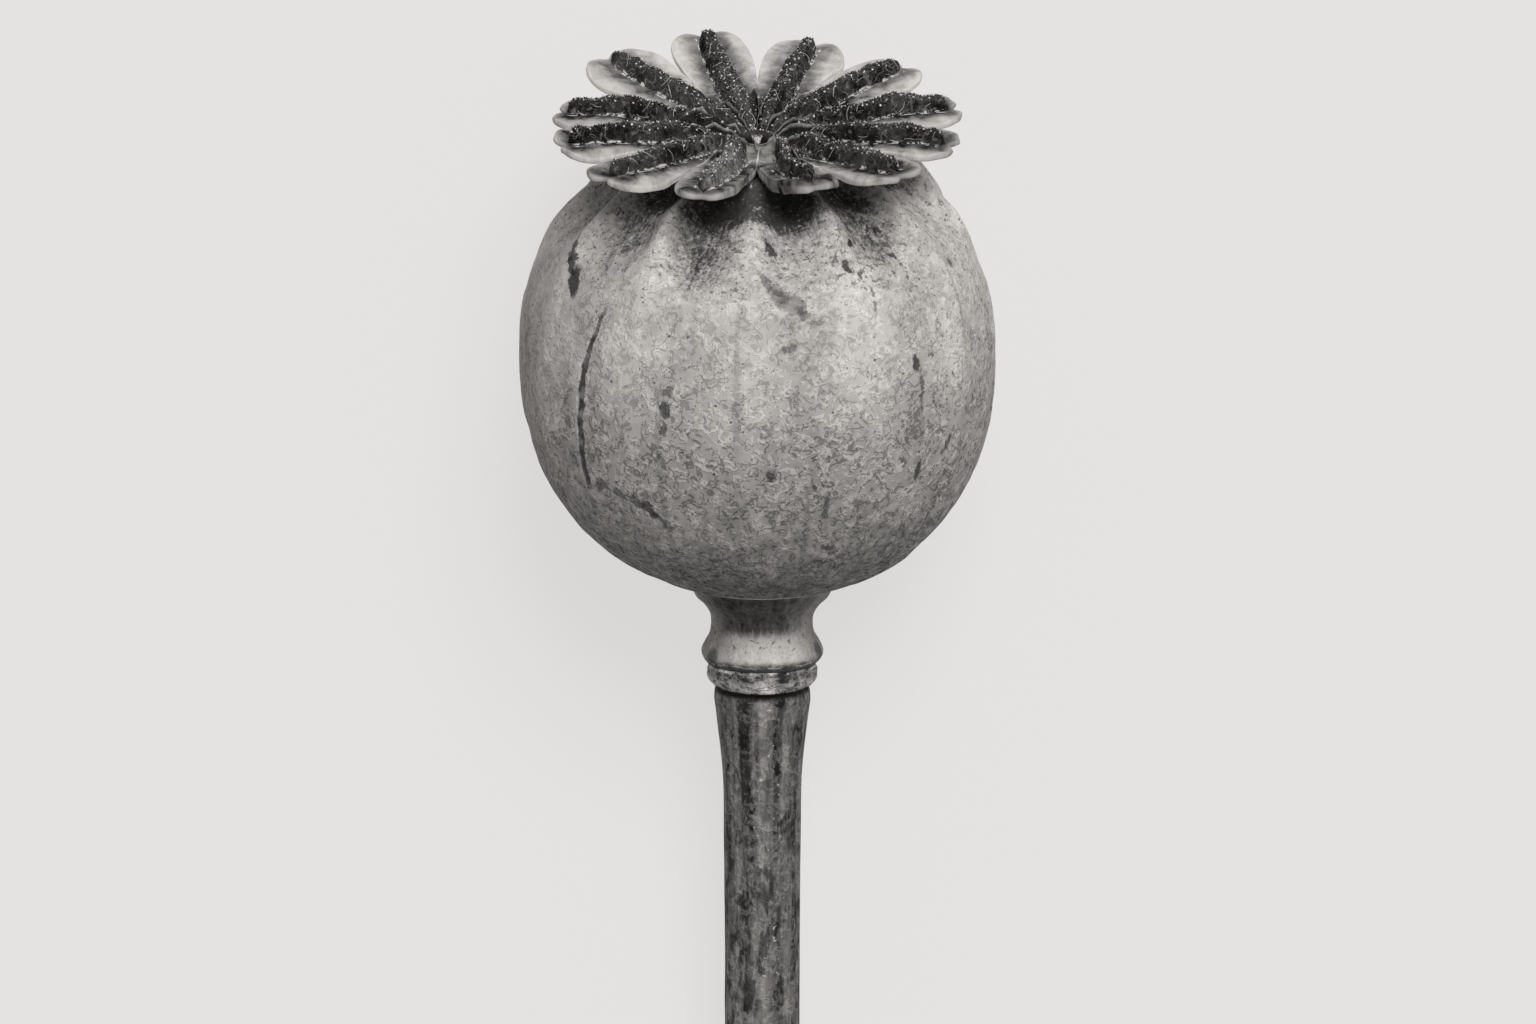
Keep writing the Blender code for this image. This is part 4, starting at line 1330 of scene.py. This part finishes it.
fibres = lumps(around, 1.0, 3, seed=4.0)
scales = lumps(np.column_stack([9 * np.sin(angle), 9 * np.cos(angle), 1.4 * height]), 1.0, 2, seed=6.0)
on_side = (height > -109.75) & (radius > 3)
relief = np.where(on_side, 0.12 * fibres * ramp(-30.3, -33, height) - 0.05, 0)
relief += np.where(on_side, 0.2 * scales * bell(height, -29.8, 0.4) + 0.14 * scales * bell(height, -28.9, 0.5), 0)
full = radius + relief
upright = np.column_stack([full * np.sin(angle), -full * np.cos(angle), height])
share = np.clip((BEND_START - height) / (BEND_START - STALK_END), 0, None)
shaped = upright.copy()
shaped[:, 0] += STALK_BEND * share**2
shaped[:, 2] -= RING_SAG * np.cos(angle) * ramp(-28.6, -29.9, height) * ramp(-31.6, -30.4, height)
shaped = nodded(shaped)
print("stalk relief from", round(relief.min(), 2), "to", round(relief.max(), 2), "mm")

# %% [markdown]
# ### The stalk's finish
#
# The stalk is streaked along its fibres, dark and pale. The ring is mottled, with whitish
# scales along its lower edge, and the groove under it is painted black as shadow. At the cut
# end a pale pith shows inside the skin.

# %% Mix the stalk's streaks and the ring's tone
DARK_STREAKS = [
    # turn round the stalk, half width, share of the tone that it takes
    (-1.35, 0.55, 0.92),
    (1.35, 0.42, 0.68),
    (-3.5, 0.4, 0.5),
    (3.4, 0.4, 0.45),
    (6.0, 0.6, 0.5),
    (-8.0, 0.5, 0.5),
]


def streaked(skin, place, turn, rise, streaks, mottle, tone):
    """The tone with dark streaks, a pale middle, hairs, blots and pale beads, as far down as they go."""
    wander = streaks.swing(0.9) + mottle.swing(0.5)
    for centre, half_width, taken in DARK_STREAKS:
        band = skin.near(turn - centre + wander, 0.55 * half_width, half_width * 1.3)
        broken = skin.fade(mottle, 0.3, 0.5, 0.5, 1.0) * skin.fade(rise, -47, -40, 0.3, 1.0)
        tone = tone * (1 - band * taken * broken)
    middle = skin.near(turn - 0.1 + wander, 0.1, 0.6)
    tone = tone + middle * 0.11
    pale = skin.most(skin.hairs(place, 0.9, 0.075, 1.0, 0.5), skin.hairs(place, 1.6, 0.08, 2.0, 0.4))
    dark = skin.hairs(skin.scaled(place, (1, 1, 0.4)), 1.0, 0.09, 3.0, 0.5)
    tone = tone + pale * 0.1 - dark * 0.09
    blots = skin.clouds(skin.scaled(place, (1, 1, 0.45)), 0.8, 3, 0.6, 0.5, seed=6.0)
    tone = tone * (1 - skin.fade(blots, 0.52, 0.62) * skin.fade(rise, -47, -40, 0.72, 0.4))
    beads = skin.fade(skin.clouds(place, 2.4, 2, 0.5, seed=10.0), 0.66, 0.7) * skin.fade(abs(turn - 0.5), 1.8, 0.6)
    return tone + beads * 0.5, pale * 0.04 - dark * 0.05


def ringed(skin, place, rise, mottle, tone):
    """The tone with the ring's dirt, flakes and pale scales, and the groove under it painted black as shadow."""
    wavy = rise + mottle.swing(0.8)
    on_ring = skin.fade(rise, -30.05, -29.95)
    flakes = skin.hairs(skin.scaled(place, (0.5, 0.5, 2.2)), 1.0, 0.14, 5.0, 0.9)
    flakes = skin.most(flakes, skin.hairs(place, 1.4, 0.1, 6.0, 0.8))
    scales = skin.fade(wavy, -29.1, -29.5) * skin.fade(skin.clouds(place, 1.1, 3), 0.42, 0.58)
    top_line = skin.near(wavy * 0.5 + rise * 0.5 + 28.5, 0.05, 0.16)
    top_line = top_line * skin.fade(skin.clouds(place, 0.9, 2, seed=3.0), 0.45, 0.55)
    dirt = skin.fade(skin.clouds(skin.scaled(place, (1, 1, 1.6)), 0.9, 3, 0.6, seed=12.0), 0.45, 0.6)
    tone = tone * (1 - on_ring * dirt * skin.fade(rise, -29.4, -29.0) * 0.9)
    tone = tone + on_ring * (0.02 + flakes * 0.2 + scales * 0.32 + top_line * 0.55)
    # The groove under the ring is painted black, as the ring's shadow.
    groove = skin.fade(rise + mottle.swing(0.3), -29.85, -30.0)
    groove = groove * skin.fade(rise + mottle.swing(0.9), -31.1, -30.4)
    return tone * (1 - groove), on_ring * flakes * 0.08


# %% Mix the stalk's finish and make the stalk
def stalk_finish():
    skin = Finish("fibrous_stalk")
    place = skin.attribute("place")
    turn, rise, depth = skin.split(skin.attribute("unrolled"))
    streaks = skin.clouds(skin.scaled(place, (1, 1, 0.05)), 0.9, 3, 0.6)
    fine = skin.clouds(skin.scaled(place, (1, 1, 0.1)), 4.0, 3, 0.65)
    mottle = skin.clouds(place, 1.1, 4, 0.65)
    grain = skin.clouds(place, 5.0, 3, 0.75)
    tone = 0.17 + streaks.swing(0.5) + fine.swing(0.28) + mottle.swing(0.3) + grain.swing(0.16)
    tone, hair_height = streaked(skin, place, turn, rise, streaks, mottle, tone)
    tone, flake_height = ringed(skin, place, rise, mottle, tone)
    pith = skin.fade(depth, 2.9, 2.5) * skin.fade(rise, -109.2, -109.4)
    tone = tone + pith * (0.35 + grain.swing(0.6))
    colour = skin.blend(tone, STALK_DIRT_AND_SHADE, HUSK_BLOOM)
    height = streaks * 0.12 + fine * 0.07 + grain * 0.03 + hair_height + flake_height
    return skin.wear(colour, 0.75, height)


stalk_skin = welded(
    "stalk_skin",
    shaped,
    sheet_faces(len(stalk_profile), len(columns)),
    {"place": upright, "unrolled": np.column_stack([angle * STALK_GIRTH_RADIUS, height, radius])},
    stalk_finish(),
)
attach(stalk_skin, "root")
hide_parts("stalk")

# %% [markdown]
# ## Finish
#
# The imported box and the box of what shows are printed side by side, so that one can see
# whether the dressing made anything larger.

# %% Print both boxes
visual_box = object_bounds()
for label, box in (("cad", cad_box), ("visual", visual_box)):
    print(label, [[round(1000 * v, 2) for v in corner] for corner in box])
